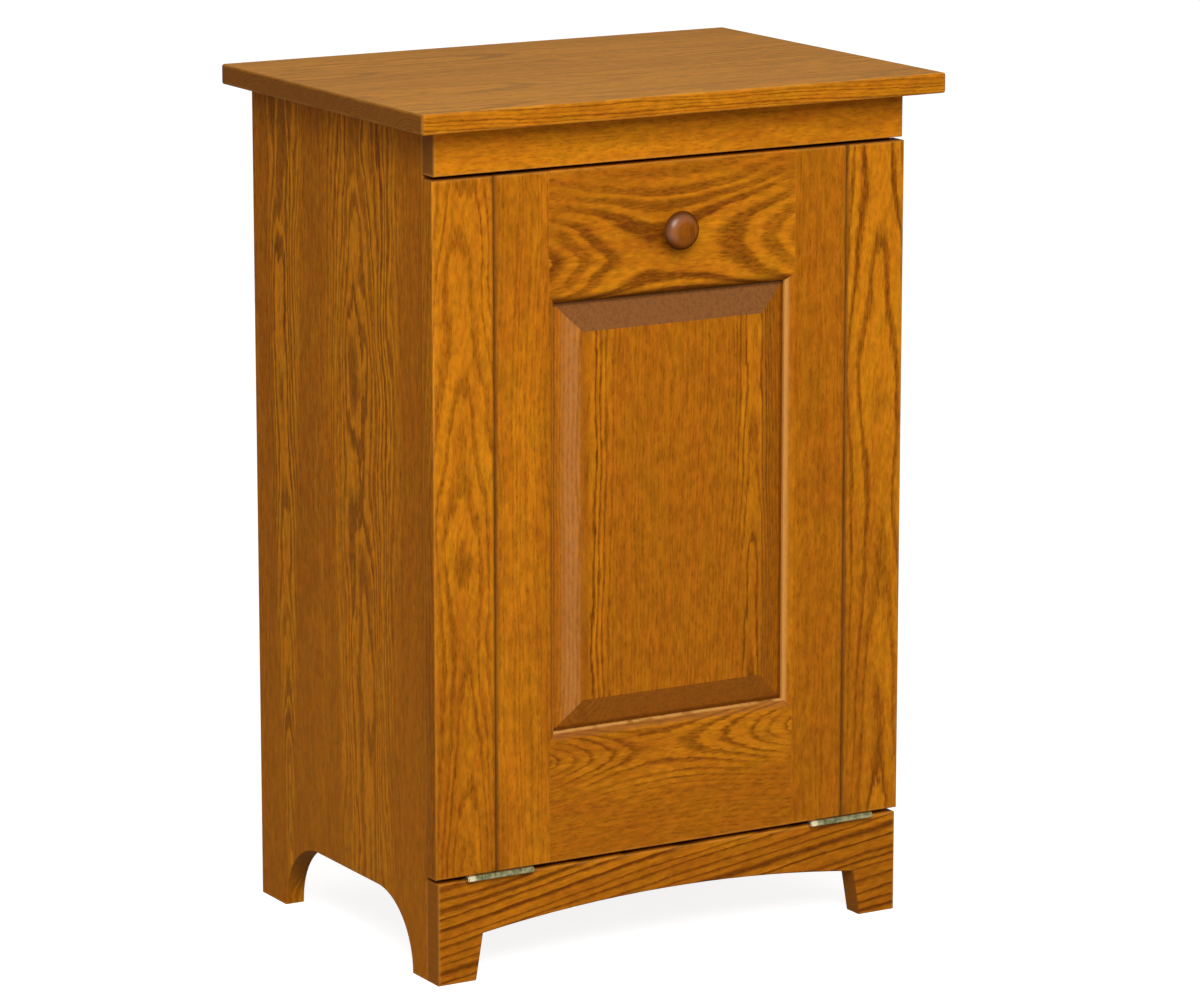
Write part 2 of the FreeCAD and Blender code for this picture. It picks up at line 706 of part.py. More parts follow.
# Inside the case: a cleat along each side and a stretcher across the back carry the top, and a glue
# block behind each apron foot stiffens the corner under the bottom panel.
stretcher_blank = board(
    "rear_stretcher_blank", ("-layout.inner_half", "layout.inner_half"),
    ("layout.stretcher_face", "layout.back_face"),
    ("layout.top_under - dims.stretcher_height", "layout.top_under"))
node("rear_stretcher", fitted("rear_stretcher", stretcher_blank, [nail_holes]))
for name, sign in SIDES:
    wall = f"{sign} * layout.inner_half"
    cleat_edge = f"{sign} * (layout.inner_half - dims.cleat_width)"
    cleat_blank = board(
        f"{name}_top_cleat_blank", (f"min({wall}; {cleat_edge})", f"max({wall}; {cleat_edge})"),
        ("layout.cleat_front", "layout.stretcher_face"), ("layout.cleat_under", "layout.top_under"))
    node(f"{name}_top_cleat", fitted(f"{name}_top_cleat", cleat_blank, [top_holes, cleat_holes]))
    block_edge = f"{sign} * (layout.inner_half - dims.block_width)"
    node(f"{name}_corner_block", board(
        f"{name}_corner_block", (f"min({wall}; {block_edge})", f"max({wall}; {block_edge})"),
        ("layout.case_front", "layout.case_front + dims.block_width"),
        ("layout.bottom_under - dims.block_height", "layout.bottom_under")))

# Rubber bumpers on the front edges of the sides, which set the gap behind the closed door.
bumpers = []
for name, sign in SIDES:
    for end, level in (("lower", "layout.door_bottom + dims.bumper_inset"),
                       ("upper", "layout.door_top - dims.bumper_inset")):
        bumper = doc.addObject("Part::Cylinder", f"{name}_{end}_bumper")
        bumper.Placement.Rotation = FreeCAD.Rotation(UP, AHEAD)
        bumper.setExpression("Placement.Base.x", f"{sign} * (layout.half_case - dims.side_thickness / 2)")
        bumper.setExpression("Placement.Base.y", "layout.case_front")
        bumper.setExpression("Placement.Base.z", level)
        bumper.setExpression("Radius", "dims.bumper_diameter / 2")
        bumper.setExpression("Height", "dims.bumper_thickness")
        bumpers.append(bumper)
bumper_group = doc.addObject("Part::Compound", "door_bumpers")
bumper_group.Links = bumpers
node("door_bumpers", bumper_group)

# Magnetic catch on the inner face of each side, and its strike plate on the back of the door.
for name, sign in SIDES:
    wall = f"{sign} * layout.inner_half"
    inner = f"{sign} * layout.catch_inner"
    flange = f"{sign} * (layout.inner_half - dims.catch_flange_thickness)"
    catch_span = ("layout.case_front", "layout.case_front + dims.catch_depth")
    housing_blank = joined(f"{name}_catch_housing_blank", [
        board(f"{name}_catch_flange", (f"min({wall}; {flange})", f"max({wall}; {flange})"), catch_span,
              ("layout.catch_level - dims.catch_height / 2", "layout.catch_level + dims.catch_height / 2")),
        board(f"{name}_catch_body", (f"min({wall}; {inner})", f"max({wall}; {inner})"), catch_span,
              ("layout.catch_level - dims.catch_body_height / 2",
               "layout.catch_level + dims.catch_body_height / 2")),
    ])
    catch_centre = f"{sign} * layout.catch_middle"
    magnet = board(
        f"{name}_catch_magnet",
        (f"{catch_centre} - dims.magnet_thickness / 2", f"{catch_centre} + dims.magnet_thickness / 2"),
        ("layout.magnet_face", "layout.magnet_face + dims.magnet_depth"),
        ("layout.catch_level - dims.magnet_height / 2", "layout.catch_level + dims.magnet_height / 2"))
    node(f"{name}_catch_magnet", magnet)
    node(f"{name}_catch_housing", fitted(f"{name}_catch_housing", housing_blank, [magnet, catch_holes]))
    strike_blank = board(
        f"{name}_strike_plate_blank",
        (f"{catch_centre} - dims.strike_width / 2", f"{catch_centre} + dims.strike_width / 2"),
        ("layout.door_back", "layout.strike_face"),
        ("layout.catch_level - dims.strike_height / 2", "layout.catch_level + dims.strike_height / 2"))
    node(f"{name}_strike_plate", fitted(f"{name}_strike_plate", strike_blank, [strike_holes]))

# Door stiles. An outer stile is glued to each inner stile, with a small V where their front edges meet.
# The inner stile is grooved for panel and tenons and rounded toward the panel.
outer_path = [
    ("layout.half_door", "layout.door_face"),
    ("layout.half_door", "layout.door_back"),
    ("layout.seam", "layout.door_back"),
    ("layout.seam", "layout.door_face + dims.seam_chamfer"),
    ("layout.seam + dims.seam_chamfer", "layout.door_face"),
]
inner_path = [
    ("layout.seam - dims.seam_chamfer", "layout.door_face"),
    ("layout.seam", "layout.door_face + dims.seam_chamfer"),
    ("layout.seam", "layout.door_back"),
    ("layout.sight_half", "layout.door_back"),
    ("layout.sight_half", "layout.groove_back"),
    ("layout.sight_half + dims.groove_depth", "layout.groove_back"),
    ("layout.sight_half + dims.groove_depth", "layout.groove_front"),
    ("layout.sight_half", "layout.groove_front"),
    ("layout.sight_half", "layout.door_face + dims.sticking_depth"),
    ("layout.opening_half", "layout.door_face", "dims.sticking_radius", "left"),
]
stile_blanks = []
for name, sign in SIDES:
    turn = mirrored if sign < 0 else list
    outer_blank = shaped(
        f"{name}_outer_stile_blank", "XY_Plane", turn(outer_path), "layout.door_bottom",
        "layout.door_top - layout.door_bottom")
    door_edge = f"{sign} * layout.half_door"
    eased(outer_blank, "dims.door_edge_radius",
          lambda edge: lies_on(edge, "Y", "layout.door_face") and (
              lies_on(edge, "X", door_edge) or lies_on(edge, "Z", "layout.door_top")
              or lies_on(edge, "Z", "layout.door_bottom")))
    node(f"{name}_outer_stile", fitted(
        f"{name}_outer_stile", outer_blank, [hinge_door_holes, stile_holes, strike_holes]))
    inner_blank = shaped(
        f"{name}_stile_blank", "XY_Plane", turn(inner_path), "layout.door_bottom",
        "layout.door_top - layout.door_bottom")
    eased(inner_blank, "dims.door_edge_radius",
          lambda edge: lies_on(edge, "Y", "layout.door_face") and (
              lies_on(edge, "Z", "layout.door_top") or lies_on(edge, "Z", "layout.door_bottom")))
    stile_blanks.append(inner_blank)
    node(f"{name}_stile", fitted(f"{name}_stile", inner_blank, [hinge_door_holes, stile_holes]))

# Door rails, coped over the rounded edges of the stiles, with stub tenons in the stile grooves.
RAIL_END = "(layout.sight_half + layout.tenon)"
RAIL_LENGTH = f"2 * {RAIL_END}"
for name, outer, opening, sight, inward in (
        ("door_top_rail", "layout.door_top", "layout.opening_high", "layout.sight_high", 1),
        ("door_bottom_rail", "layout.door_bottom", "layout.opening_low", "layout.sight_low", -1)):
    groove_floor = f"{sight} + {inward} * dims.groove_depth"
    rail_path = [
        ("layout.door_face", outer),
        ("layout.door_face", opening),
        ("layout.door_face + dims.sticking_depth", sight, "dims.sticking_radius",
         "left" if inward > 0 else "right"),
        ("layout.groove_front", sight),
        ("layout.groove_front", groove_floor),
        ("layout.groove_back", groove_floor),
        ("layout.groove_back", sight),
        ("layout.door_back", sight),
        ("layout.door_back", outer),
    ]
    door_rail = shaped(f"{name}_blank", "YZ_Plane", rail_path, f"-{RAIL_END}", RAIL_LENGTH)
    eased(door_rail, "dims.door_edge_radius",
          lambda edge: lies_on(edge, "Y", "layout.door_face") and lies_on(edge, "Z", outer))
    node(name, fitted(name, door_rail, stile_blanks + [knob_hole]))

# Raised panel: a tongue all round floats in the grooves, and a wide bevel rises to the flat field.
panel_tongue = board(
    "door_panel_tongue",
    ("-layout.sight_half - layout.tongue", "layout.sight_half + layout.tongue"),
    ("layout.groove_front + dims.panel_slack", "layout.groove_back - dims.panel_slack"),
    ("layout.sight_low - layout.tongue", "layout.sight_high + layout.tongue"))
panel_raise = doc.addObject("Part::Wedge", "door_panel_raise")
for edge, formula in {
        "Xmin": "-layout.opening_half + dims.panel_field_margin",
        "Xmax": "layout.opening_half - dims.panel_field_margin",
        "Zmin": "layout.opening_low + dims.panel_field_margin",
        "Zmax": "layout.opening_high - dims.panel_field_margin",
        "X2min": "-layout.sight_half + dims.panel_lip_gap",
        "X2max": "layout.sight_half - dims.panel_lip_gap",
        "Z2min": "layout.sight_low + dims.panel_lip_gap",
        "Z2max": "layout.sight_high - dims.panel_lip_gap",
        "Ymin": "layout.door_face",
        "Ymax": "layout.groove_front + dims.panel_slack"}.items():
    panel_raise.setExpression(edge, formula)
node("door_panel", joined("door_panel", [panel_tongue, panel_raise]))

# Turned knob at the middle of the door's top rail.
knob_body = doc.addObject("PartDesign::Body", "knob_blank")
knob_body.setExpression("Placement.Base.y", "layout.door_face")
knob_body.setExpression("Placement.Base.z", "layout.knob_level")
NECK_RADIUS = "(dims.knob_neck_length - dims.knob_foot_length)"
BRIM_RADIUS = "(dims.knob_brim_length - dims.knob_neck_length)"
FACE_RADIUS = "(((dims.knob_face_diameter / 2) ^ 2 + dims.knob_face_dome ^ 2) / (2 * dims.knob_face_dome))"
knob_path = [
    ("0", "0"),
    ("0", "dims.knob_foot_diameter / 2"),
    ("-dims.knob_foot_length", "dims.knob_foot_diameter / 2"),
    ("-dims.knob_neck_length", "dims.knob_neck_diameter / 2", f"2 * {NECK_RADIUS}", "right"),
    ("-dims.knob_brim_length", "dims.knob_diameter / 2", f"1.5 * {BRIM_RADIUS}", "right"),
    ("dims.knob_face_dome - dims.knob_projection", "dims.knob_face_diameter / 2", "dims.knob_rim_radius",
     "left"),
    ("-dims.knob_projection", "0", FACE_RADIUS, "left"),
]
knob_sketch = drawn(knob_body, "YZ_Plane", [knob_path], "0")
knob_turning = knob_body.newObject("PartDesign::Revolution", "knob_turning")
knob_turning.Profile = knob_sketch
knob_turning.ReferenceAxis = (knob_sketch, ["H_Axis"])
knob_turning.Angle = 360
knob_body.Tip = knob_turning
node("knob", fitted("knob", knob_body, [knob_hole]))

# Butt hinges in the gap between apron and door. The case leaf carries the end knuckles, the door leaf
# the ones between, and a pin with two small heads runs through all of them.
PITCH = "(dims.hinge_length / dims.hinge_knuckles)"
CLEAR_BORE = "dims.pin_diameter + 2 * dims.pin_clearance"
CLEAR_KNUCKLE = "dims.knuckle_diameter + 2 * dims.knuckle_clearance"
KNUCKLE_COUNT = int(value("dims.hinge_knuckles"))
for name, sign in SIDES:
    hinge_start = f"({sign} * dims.hinge_spacing / 2 - dims.hinge_length / 2)"
    hinge_end = f"({hinge_start} + dims.hinge_length)"
    axis = ("layout.pivot_y", "layout.pivot_z")
    bore = bar(f"{name}_hinge_bore", hinge_start, "dims.hinge_length", CLEAR_BORE, *axis)
    for part, first, face, low, high, holes in (
            ("case", 0, "layout.front_face", "dims.apron_height",
             "dims.apron_height + dims.leaf_thickness", hinge_case_holes),
            ("door", 1, "layout.door_face", "layout.door_bottom - dims.leaf_thickness",
             "layout.door_bottom", hinge_door_holes)):
        leaf_name = f"{name}_hinge_{part}_leaf"
        plate = board(f"{leaf_name}_plate", (hinge_start, hinge_end),
                      ("layout.pivot_y", f"{face} + dims.leaf_depth"), (low, high))
        own = []
        other = []
        for index in range(KNUCKLE_COUNT):
            knuckle_start = f"{hinge_start} + {index} * {PITCH}"
            if index % 2 == first:
                own.append(bar(f"{leaf_name}_knuckle", f"{knuckle_start} + dims.knuckle_clearance / 2",
                               f"{PITCH} - dims.knuckle_clearance", "dims.knuckle_diameter", *axis))
            else:
                other.append(bar(f"{leaf_name}_notch", f"{knuckle_start} - dims.knuckle_clearance / 2",
                                 f"{PITCH} + dims.knuckle_clearance", CLEAR_KNUCKLE, *axis))
        leaf_blank = joined(f"{leaf_name}_blank", [plate] + own)
        notched = fitted(f"{leaf_name}_notched", leaf_blank, other)
        node(leaf_name, fitted(leaf_name, notched, [bore, holes]))
    pin_shank = bar(f"{name}_hinge_pin_shank", f"{hinge_start} - dims.pin_head_length",
                    "dims.hinge_length + 2 * dims.pin_head_length", "dims.pin_diameter", *axis)
    heads = [bar(f"{name}_hinge_pin_head", start, "dims.pin_head_length", "dims.pin_head_diameter", *axis)
             for start in (f"{hinge_start} - dims.pin_head_length", hinge_end)]
    node(f"{name}_hinge_pin", joined(f"{name}_hinge_pin", [pin_shank] + heads))

# Plywood cradle behind the door. Each side rises at the back into a neck whose hook meets the back of
# the fixed top rail at full tilt.
cradle_path = [
    ("layout.door_back", "layout.cradle_under"),
    ("layout.cradle_back", "layout.cradle_under"),
    ("layout.cradle_back", "layout.hook_top"),
    ("layout.hook_tip", "layout.hook_top"),
    ("layout.hook_face", "layout.ledge"),
    ("layout.neck_face", "layout.ledge"),
    ("layout.neck_face", "layout.cradle_shoulder + dims.cradle_sweep_radius"),
    ("layout.neck_face - dims.cradle_sweep_radius", "layout.cradle_shoulder", "dims.cradle_sweep_radius",
     "right"),
    ("layout.door_back", "layout.cradle_shoulder"),
]
CRADLE_SPAN = ("-layout.cradle_inner", "layout.cradle_inner")
floor_blank = board("cradle_floor_blank", CRADLE_SPAN, ("layout.door_back", "layout.slat_back"),
                    ("layout.cradle_under", "layout.cradle_floor"))
node("cradle_floor", fitted("cradle_floor", floor_blank, [cradle_holes]))
for name, sign in SIDES:
    outer = f"{sign} * layout.cradle_half"
    inner = f"{sign} * layout.cradle_inner"
    cradle_side = shaped(f"cradle_{name}_side_blank", "YZ_Plane", cradle_path, f"min({outer}; {inner})",
                         "dims.cradle_board")
    node(f"cradle_{name}_side", fitted(f"cradle_{name}_side", cradle_side, [cradle_holes]))
    far = f"{sign} * layout.cleat_inner"
    cradle_cleat = board(
        f"cradle_{name}_cleat_blank", (f"min({inner}; {far})", f"max({inner}; {far})"),
        ("layout.door_back", "layout.door_back + dims.cradle_cleat_depth"),
        ("layout.cradle_floor", "layout.cradle_floor + dims.cradle_cleat_height"))
    node(f"cradle_{name}_cleat", fitted(f"cradle_{name}_cleat", cradle_cleat, [stile_holes, cradle_holes]))
for name, low, high in (
        ("cradle_lower_slat", "layout.cradle_floor", "layout.cradle_floor + dims.lower_slat_height"),
        ("cradle_upper_slat", "layout.upper_slat_top - dims.upper_slat_height", "layout.upper_slat_top")):
    slat = board(f"{name}_blank", CRADLE_SPAN, ("layout.slat_face", "layout.slat_back"), (low, high))
    node(name, fitted(name, slat, [cradle_holes]))

# Moulded bin with tapered walls and a turned-down rim, standing loose on the cradle bottom.
bin_body = doc.addObject("PartDesign::Body", "waste_bin")
bin_body.setExpression("Placement.Base.y", "(layout.bin_front + layout.bin_back) / 2")
bin_body.setExpression("Placement.Base.z", "layout.cradle_floor")
MOUTH_WIDTH = "(dims.bin_width / 2 - dims.bin_rim_width)"
MOUTH_DEPTH = "(dims.bin_depth / 2 - dims.bin_rim_width)"
BASE_WIDTH = f"({MOUTH_WIDTH} - dims.bin_width_taper)"
BASE_DEPTH = f"({MOUTH_DEPTH} - dims.bin_depth_taper)"
INNER_CORNER = "dims.bin_corner_radius - dims.bin_wall"
RIM_CORNER = "dims.bin_corner_radius + dims.bin_rim_width"
base_outside = drawn(
    bin_body, "XY_Plane", [rounded(BASE_WIDTH, BASE_DEPTH, "dims.bin_base_radius")], "0")
mouth_outside = drawn(
    bin_body, "XY_Plane", [rounded(MOUTH_WIDTH, MOUTH_DEPTH, "dims.bin_corner_radius")], "dims.bin_height")
outer_loft = bin_body.newObject("PartDesign::AdditiveLoft", "bin_outside")
outer_loft.Profile = base_outside
outer_loft.Sections = [mouth_outside]
bin_body.Tip = outer_loft
base_inside = drawn(
    bin_body, "XY_Plane",
    [rounded(f"{BASE_WIDTH} - dims.bin_wall", f"{BASE_DEPTH} - dims.bin_wall",
             "dims.bin_base_radius - dims.bin_wall")], "dims.bin_wall")
mouth_inside_path = rounded(f"{MOUTH_WIDTH} - dims.bin_wall", f"{MOUTH_DEPTH} - dims.bin_wall", INNER_CORNER)
mouth_inside = drawn(bin_body, "XY_Plane", [mouth_inside_path], "dims.bin_height")
inner_loft = bin_body.newObject("PartDesign::SubtractiveLoft", "bin_inside")
inner_loft.Profile = base_inside
inner_loft.Sections = [mouth_inside]
bin_body.Tip = inner_loft
rim_path = rounded("dims.bin_width / 2", "dims.bin_depth / 2", RIM_CORNER)
rim_flat = drawn(bin_body, "XY_Plane", [rim_path, mouth_inside_path], "dims.bin_height - dims.bin_wall")
thicken(bin_body, rim_flat, "dims.bin_wall")
skirt_inside = rounded("dims.bin_width / 2 - dims.bin_wall", "dims.bin_depth / 2 - dims.bin_wall",
                       f"{RIM_CORNER} - dims.bin_wall")
rim_skirt = drawn(bin_body, "XY_Plane", [rim_path, skirt_inside], "dims.bin_height - dims.bin_rim_height")
thicken(bin_body, rim_skirt, "dims.bin_rim_height")
node("waste_bin", bin_body)

doc.recompute()

# Every feature must be sound before any piece is written.
for feature in doc.Objects:
    faults = [state for state in feature.State if state in ("Invalid", "Error")]
    if faults:
        raise RuntimeError(f"{feature.Label} is {faults}")
os.makedirs("parts", exist_ok=True)
for piece in finished:
    if piece.Shape.isNull() or not piece.Shape.isValid() or not piece.Shape.Solids:
        raise RuntimeError(f"{piece.Label} has no sound solid")
    piece.Shape.exportStep(f"parts/{piece.Label}.step")
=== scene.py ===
import math

import bmesh
import bpy
from mathutils import Matrix, Vector


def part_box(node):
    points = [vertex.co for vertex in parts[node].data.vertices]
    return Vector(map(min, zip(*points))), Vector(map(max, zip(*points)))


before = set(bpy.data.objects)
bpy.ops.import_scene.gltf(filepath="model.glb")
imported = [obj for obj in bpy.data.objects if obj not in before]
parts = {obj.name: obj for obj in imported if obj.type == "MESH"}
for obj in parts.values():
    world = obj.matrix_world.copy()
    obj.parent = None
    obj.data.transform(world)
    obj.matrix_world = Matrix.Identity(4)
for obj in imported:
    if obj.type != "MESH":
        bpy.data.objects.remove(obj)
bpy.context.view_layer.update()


# ---- Case sides -------------------------------------------------------------------------------------------
# Two upright panels of solid oak, each glued up from narrow boards and sawn to an arch below so that it
# stands on two feet. Rubbed with a honey stain and brushed with a satin varnish.
def feed(tree, socket, source):
    """Links a socket to another one, or sets it to a plain value."""
    if isinstance(source, bpy.types.NodeSocket):
        tree.links.new(source, socket)
    else:
        socket.default_value = source


def figure(tree, operation, *terms):
    """One sum on values that change over the surface."""
    step = tree.nodes.new("ShaderNodeMath")
    step.operation = operation
    for socket, term in zip(step.inputs, terms):
        feed(tree, socket, term)
    return step.outputs[0]


def vectors(tree, operation, *terms):
    """One sum on places or directions."""
    step = tree.nodes.new("ShaderNodeVectorMath")
    step.operation = operation
    for socket, term in zip(step.inputs, terms):
        feed(tree, socket, term)
    return step.outputs["Value" if operation in ("DOT_PRODUCT", "LENGTH") else "Vector"]


def faded(tree, value, low, high):
    """Rises smoothly from 0 to 1 between low and high."""
    step = tree.nodes.new("ShaderNodeMapRange")
    step.interpolation_type = "SMOOTHSTEP"
    feed(tree, step.inputs["Value"], value)
    step.inputs["From Min"].default_value = low
    step.inputs["From Max"].default_value = high
    return step.outputs["Result"]


def cloudy(tree, place, stretch, detail=2.0, rough=0.5):
    """Soft noise, stretched differently across, through and along the grain."""
    step = tree.nodes.new("ShaderNodeTexNoise")
    step.inputs["Scale"].default_value = 1.0
    step.inputs["Detail"].default_value = detail
    step.inputs["Roughness"].default_value = rough
    feed(tree, step.inputs["Vector"], vectors(tree, "MULTIPLY", place, stretch))
    return step.outputs["Fac"]


def washed(tree, share, first, second, way="MIX"):
    """One colour laid over another."""
    step = tree.nodes.new("ShaderNodeMix")
    step.data_type = "RGBA"
    step.blend_type = way
    feed(tree, step.inputs[0], share)
    feed(tree, step.inputs[6], first)
    feed(tree, step.inputs[7], second)
    return step.outputs[2]


def by_chance(tree, number):
    """A fixed chance value from 0 to 1 for each number."""
    step = tree.nodes.new("ShaderNodeTexWhiteNoise")
    step.noise_dimensions = "1D"
    feed(tree, step.inputs["W"], number)
    return step.outputs["Value"]


def open_group(name, inputs, outputs):
    """A shader node group with named sockets; gives the group and its two ends."""
    group = bpy.data.node_groups.new(name, "ShaderNodeTree")
    for label, kind in inputs:
        group.interface.new_socket(label, in_out="INPUT", socket_type="NodeSocket" + kind)
    for label, kind in outputs:
        group.interface.new_socket(label, in_out="OUTPUT", socket_type="NodeSocket" + kind)
    given = group.nodes.new("NodeGroupInput").outputs
    result = group.nodes.new("NodeGroupOutput").inputs
    return group, given, result


# Growth rings round a pith that leans and bows along the board, cut by the board's faces. X runs across the
# board, Y through it and Z along the grain, in metres.
oak_grain, given, result = open_group(
    "oak_grain",
    [("Place", "Vector"), ("End", "Float"), ("Stave", "Float"), ("Pith", "Float"), ("Lean", "Float"),
     ("Bow", "Float"), ("Ring", "Float"), ("Wander", "Float"), ("Boldness", "Float"), ("Breadth", "Float"),
     ("Tone", "Float"), ("Gilt", "Float"), ("Blush", "Float"), ("Pale", "Color"), ("Body", "Color"),
     ("Dark", "Color"), ("Soaked", "Color")],
    [("Colour", "Color"), ("Roughness", "Float"), ("Relief", "Float")])
split = oak_grain.nodes.new("ShaderNodeSeparateXYZ")
feed(oak_grain, split.inputs[0], given["Place"])
# A glued-up panel is cut into staves, and each stave is moved to another spot of the tree by chance.
stave = figure(oak_grain, "FLOOR", figure(oak_grain, "DIVIDE", split.outputs[0], given["Stave"]))
stave_middle = figure(oak_grain, "MULTIPLY", figure(oak_grain, "ADD", stave, 0.5), given["Stave"])
first_draw = by_chance(oak_grain, stave)
second_draw = by_chance(oak_grain, figure(oak_grain, "ADD", stave, 31.7))
is_glued = figure(oak_grain, "LESS_THAN", given["Stave"], 1.0)
aside = figure(oak_grain, "MULTIPLY", figure(oak_grain, "SUBTRACT", first_draw, 0.5),
               figure(oak_grain, "MULTIPLY", given["Stave"], 0.9))
across = figure(oak_grain, "SUBTRACT", split.outputs[0], figure(
    oak_grain, "MULTIPLY", is_glued, figure(oak_grain, "ADD", stave_middle, aside)))
along = figure(oak_grain, "ADD", split.outputs[2], figure(
    oak_grain, "MULTIPLY", is_glued, figure(oak_grain, "SUBTRACT", second_draw, 0.5)))
joined = oak_grain.nodes.new("ShaderNodeCombineXYZ")
feed(oak_grain, joined.inputs[0], across)
feed(oak_grain, joined.inputs[1], figure(oak_grain, "MULTIPLY_ADD", figure(
    oak_grain, "MULTIPLY", stave, is_glued), 0.37, split.outputs[1]))
feed(oak_grain, joined.inputs[2], along)
spot = joined.outputs[0]
# Distance from the pith, disturbed by slow drift, by ripples and by feathered ring edges, counted in years.
drift = figure(oak_grain, "SUBTRACT", cloudy(oak_grain, spot, (9.0, 9.0, 2.6)), 0.5)
ripple = figure(oak_grain, "SUBTRACT", cloudy(oak_grain, spot, (50.0, 50.0, 10.0)), 0.5)
feather = figure(oak_grain, "SUBTRACT", cloudy(oak_grain, spot, (480.0, 480.0, 75.0)), 0.5)
depth = figure(oak_grain, "ADD", split.outputs[1], given["Pith"])
depth = figure(oak_grain, "MULTIPLY_ADD", along, given["Lean"], depth)
depth = figure(oak_grain, "MULTIPLY_ADD", figure(oak_grain, "MULTIPLY", along, along), given["Bow"], depth)
radius = figure(oak_grain, "SQRT", figure(oak_grain, "ADD", figure(oak_grain, "MULTIPLY", across, across),
                                          figure(oak_grain, "MULTIPLY", depth, depth)))
radius = figure(oak_grain, "MULTIPLY_ADD", drift, given["Wander"], radius)
radius = figure(oak_grain, "MULTIPLY_ADD", ripple, figure(
    oak_grain, "MULTIPLY", given["Wander"], 0.2), radius)
radius = figure(oak_grain, "MULTIPLY_ADD", feather, 0.0022, radius)
years = figure(oak_grain, "DIVIDE", radius, given["Ring"])
# Good and bad years, then each year's porous spring wood, bolder where the saw cut flat to the rings.
weather = oak_grain.nodes.new("ShaderNodeTexNoise")
weather.noise_dimensions = "1D"
weather.inputs["Scale"].default_value = 0.6
weather.inputs["Detail"].default_value = 1.0
feed(oak_grain, weather.inputs["W"], years)
years = figure(oak_grain, "MULTIPLY_ADD", weather.outputs["Fac"], 1.3, years)
year = figure(oak_grain, "FLOOR", years)
season = figure(oak_grain, "SUBTRACT", years, year)
spring = figure(oak_grain, "MULTIPLY", faded(oak_grain, season, 0.0, 0.18),
                figure(oak_grain, "SUBTRACT", 1.0, faded(
                    oak_grain, figure(oak_grain, "SUBTRACT", season, given["Breadth"]), 0.22, 0.62)))
slope = figure(oak_grain, "DIVIDE", figure(oak_grain, "ABSOLUTE", across), figure(
    oak_grain, "ADD", figure(oak_grain, "ABSOLUTE", depth), 0.004))
flat_cut = figure(oak_grain, "SUBTRACT", 1.0, faded(oak_grain, slope, 0.45, 1.7))
# Pores, fibres, rays and broad changes of tone.
pores = cloudy(oak_grain, spot, (640.0, 640.0, 150.0), 2.0, 0.6)
fibre = cloudy(oak_grain, spot, (300.0, 300.0, 50.0), 3.0, 0.6)
rays = faded(oak_grain, cloudy(oak_grain, spot, (210.0, 210.0, 80.0)), 0.3, 0.7)
hue = faded(oak_grain, cloudy(oak_grain, spot, (80.0, 80.0, 17.0)), 0.3, 0.7)
mottle = cloudy(oak_grain, spot, (90.0, 90.0, 14.0), 2.0, 0.5)
shade = cloudy(oak_grain, spot, (16.0, 16.0, 1.7), 2.0, 0.5)
speck = faded(oak_grain, pores, 0.5, 0.68)
strength = figure(oak_grain, "MULTIPLY_ADD", by_chance(oak_grain, year), 0.55, 0.6)
strength = figure(oak_grain, "MULTIPLY", strength, figure(oak_grain, "MULTIPLY_ADD", flat_cut, 0.7, 0.3))
band = figure(oak_grain, "MULTIPLY", figure(oak_grain, "MULTIPLY", spring, strength), given["Boldness"])
band = figure(oak_grain, "MULTIPLY", band, figure(oak_grain, "MULTIPLY_ADD", pores, 0.9, 0.5))
band = figure(oak_grain, "MINIMUM", band, 1.0)
# Stain: pale to body by tone, dark in the spring wood and the pores, then lit by fibres and rays.
tone = figure(oak_grain, "ADD", shade, figure(oak_grain, "MULTIPLY_ADD", figure(
    oak_grain, "MULTIPLY", is_glued, figure(oak_grain, "SUBTRACT", first_draw, 0.5)), 0.12, given["Tone"]))
tone = figure(oak_grain, "MULTIPLY_ADD", figure(oak_grain, "SUBTRACT", mottle, 0.5), 0.5, tone)
tone = figure(oak_grain, "MULTIPLY_ADD", figure(oak_grain, "SUBTRACT", 0.5, flat_cut), given["Gilt"], tone)
colour = washed(oak_grain, faded(oak_grain, tone, 0.28, 0.75), given["Pale"], given["Body"])
colour = washed(oak_grain, band, colour, given["Dark"])
speck_share = figure(oak_grain, "MULTIPLY", speck, figure(oak_grain, "MULTIPLY_ADD", spring, 0.25, 0.2))
colour = washed(oak_grain, speck_share, colour, given["Dark"])
light = figure(oak_grain, "MULTIPLY_ADD", fibre, 0.4, 0.67)
light = figure(oak_grain, "MULTIPLY_ADD", rays, 0.26, light)
redness = figure(oak_grain, "MULTIPLY", figure(oak_grain, "SUBTRACT", hue, 0.5), given["Blush"])
lit = oak_grain.nodes.new("ShaderNodeCombineColor")
REDDER = (0.02, -0.08, 0.1)
for channel, swing in enumerate(REDDER):
    feed(oak_grain, lit.inputs[channel], figure(
        oak_grain, "MULTIPLY", light, figure(oak_grain, "MULTIPLY_ADD", redness, swing, 1.0)))
colour = washed(oak_grain, 1.0, colour, lit.outputs[0], "MULTIPLY")
# Sawn ends soak up more stain. Pores are rougher and lie deeper than the wood around them.
end_share = faded(oak_grain, figure(oak_grain, "ABSOLUTE", given["End"]), 0.05, 0.5)
colour = washed(oak_grain, figure(oak_grain, "MULTIPLY", end_share, 0.85), colour, given["Soaked"])
feed(oak_grain, result["Colour"], colour)
rough = figure(oak_grain, "MULTIPLY_ADD", speck, 0.18, 0.38)
rough = figure(oak_grain, "MULTIPLY_ADD", fibre, 0.12, rough)
feed(oak_grain, result["Roughness"], figure(oak_grain, "MULTIPLY_ADD", end_share, 0.1, rough))
relief = figure(oak_grain, "MULTIPLY_ADD", speck, -1.0, figure(oak_grain, "MULTIPLY", band, -0.4))
feed(oak_grain, result["Relief"], figure(oak_grain, "MULTIPLY_ADD", fibre, 0.3, relief))

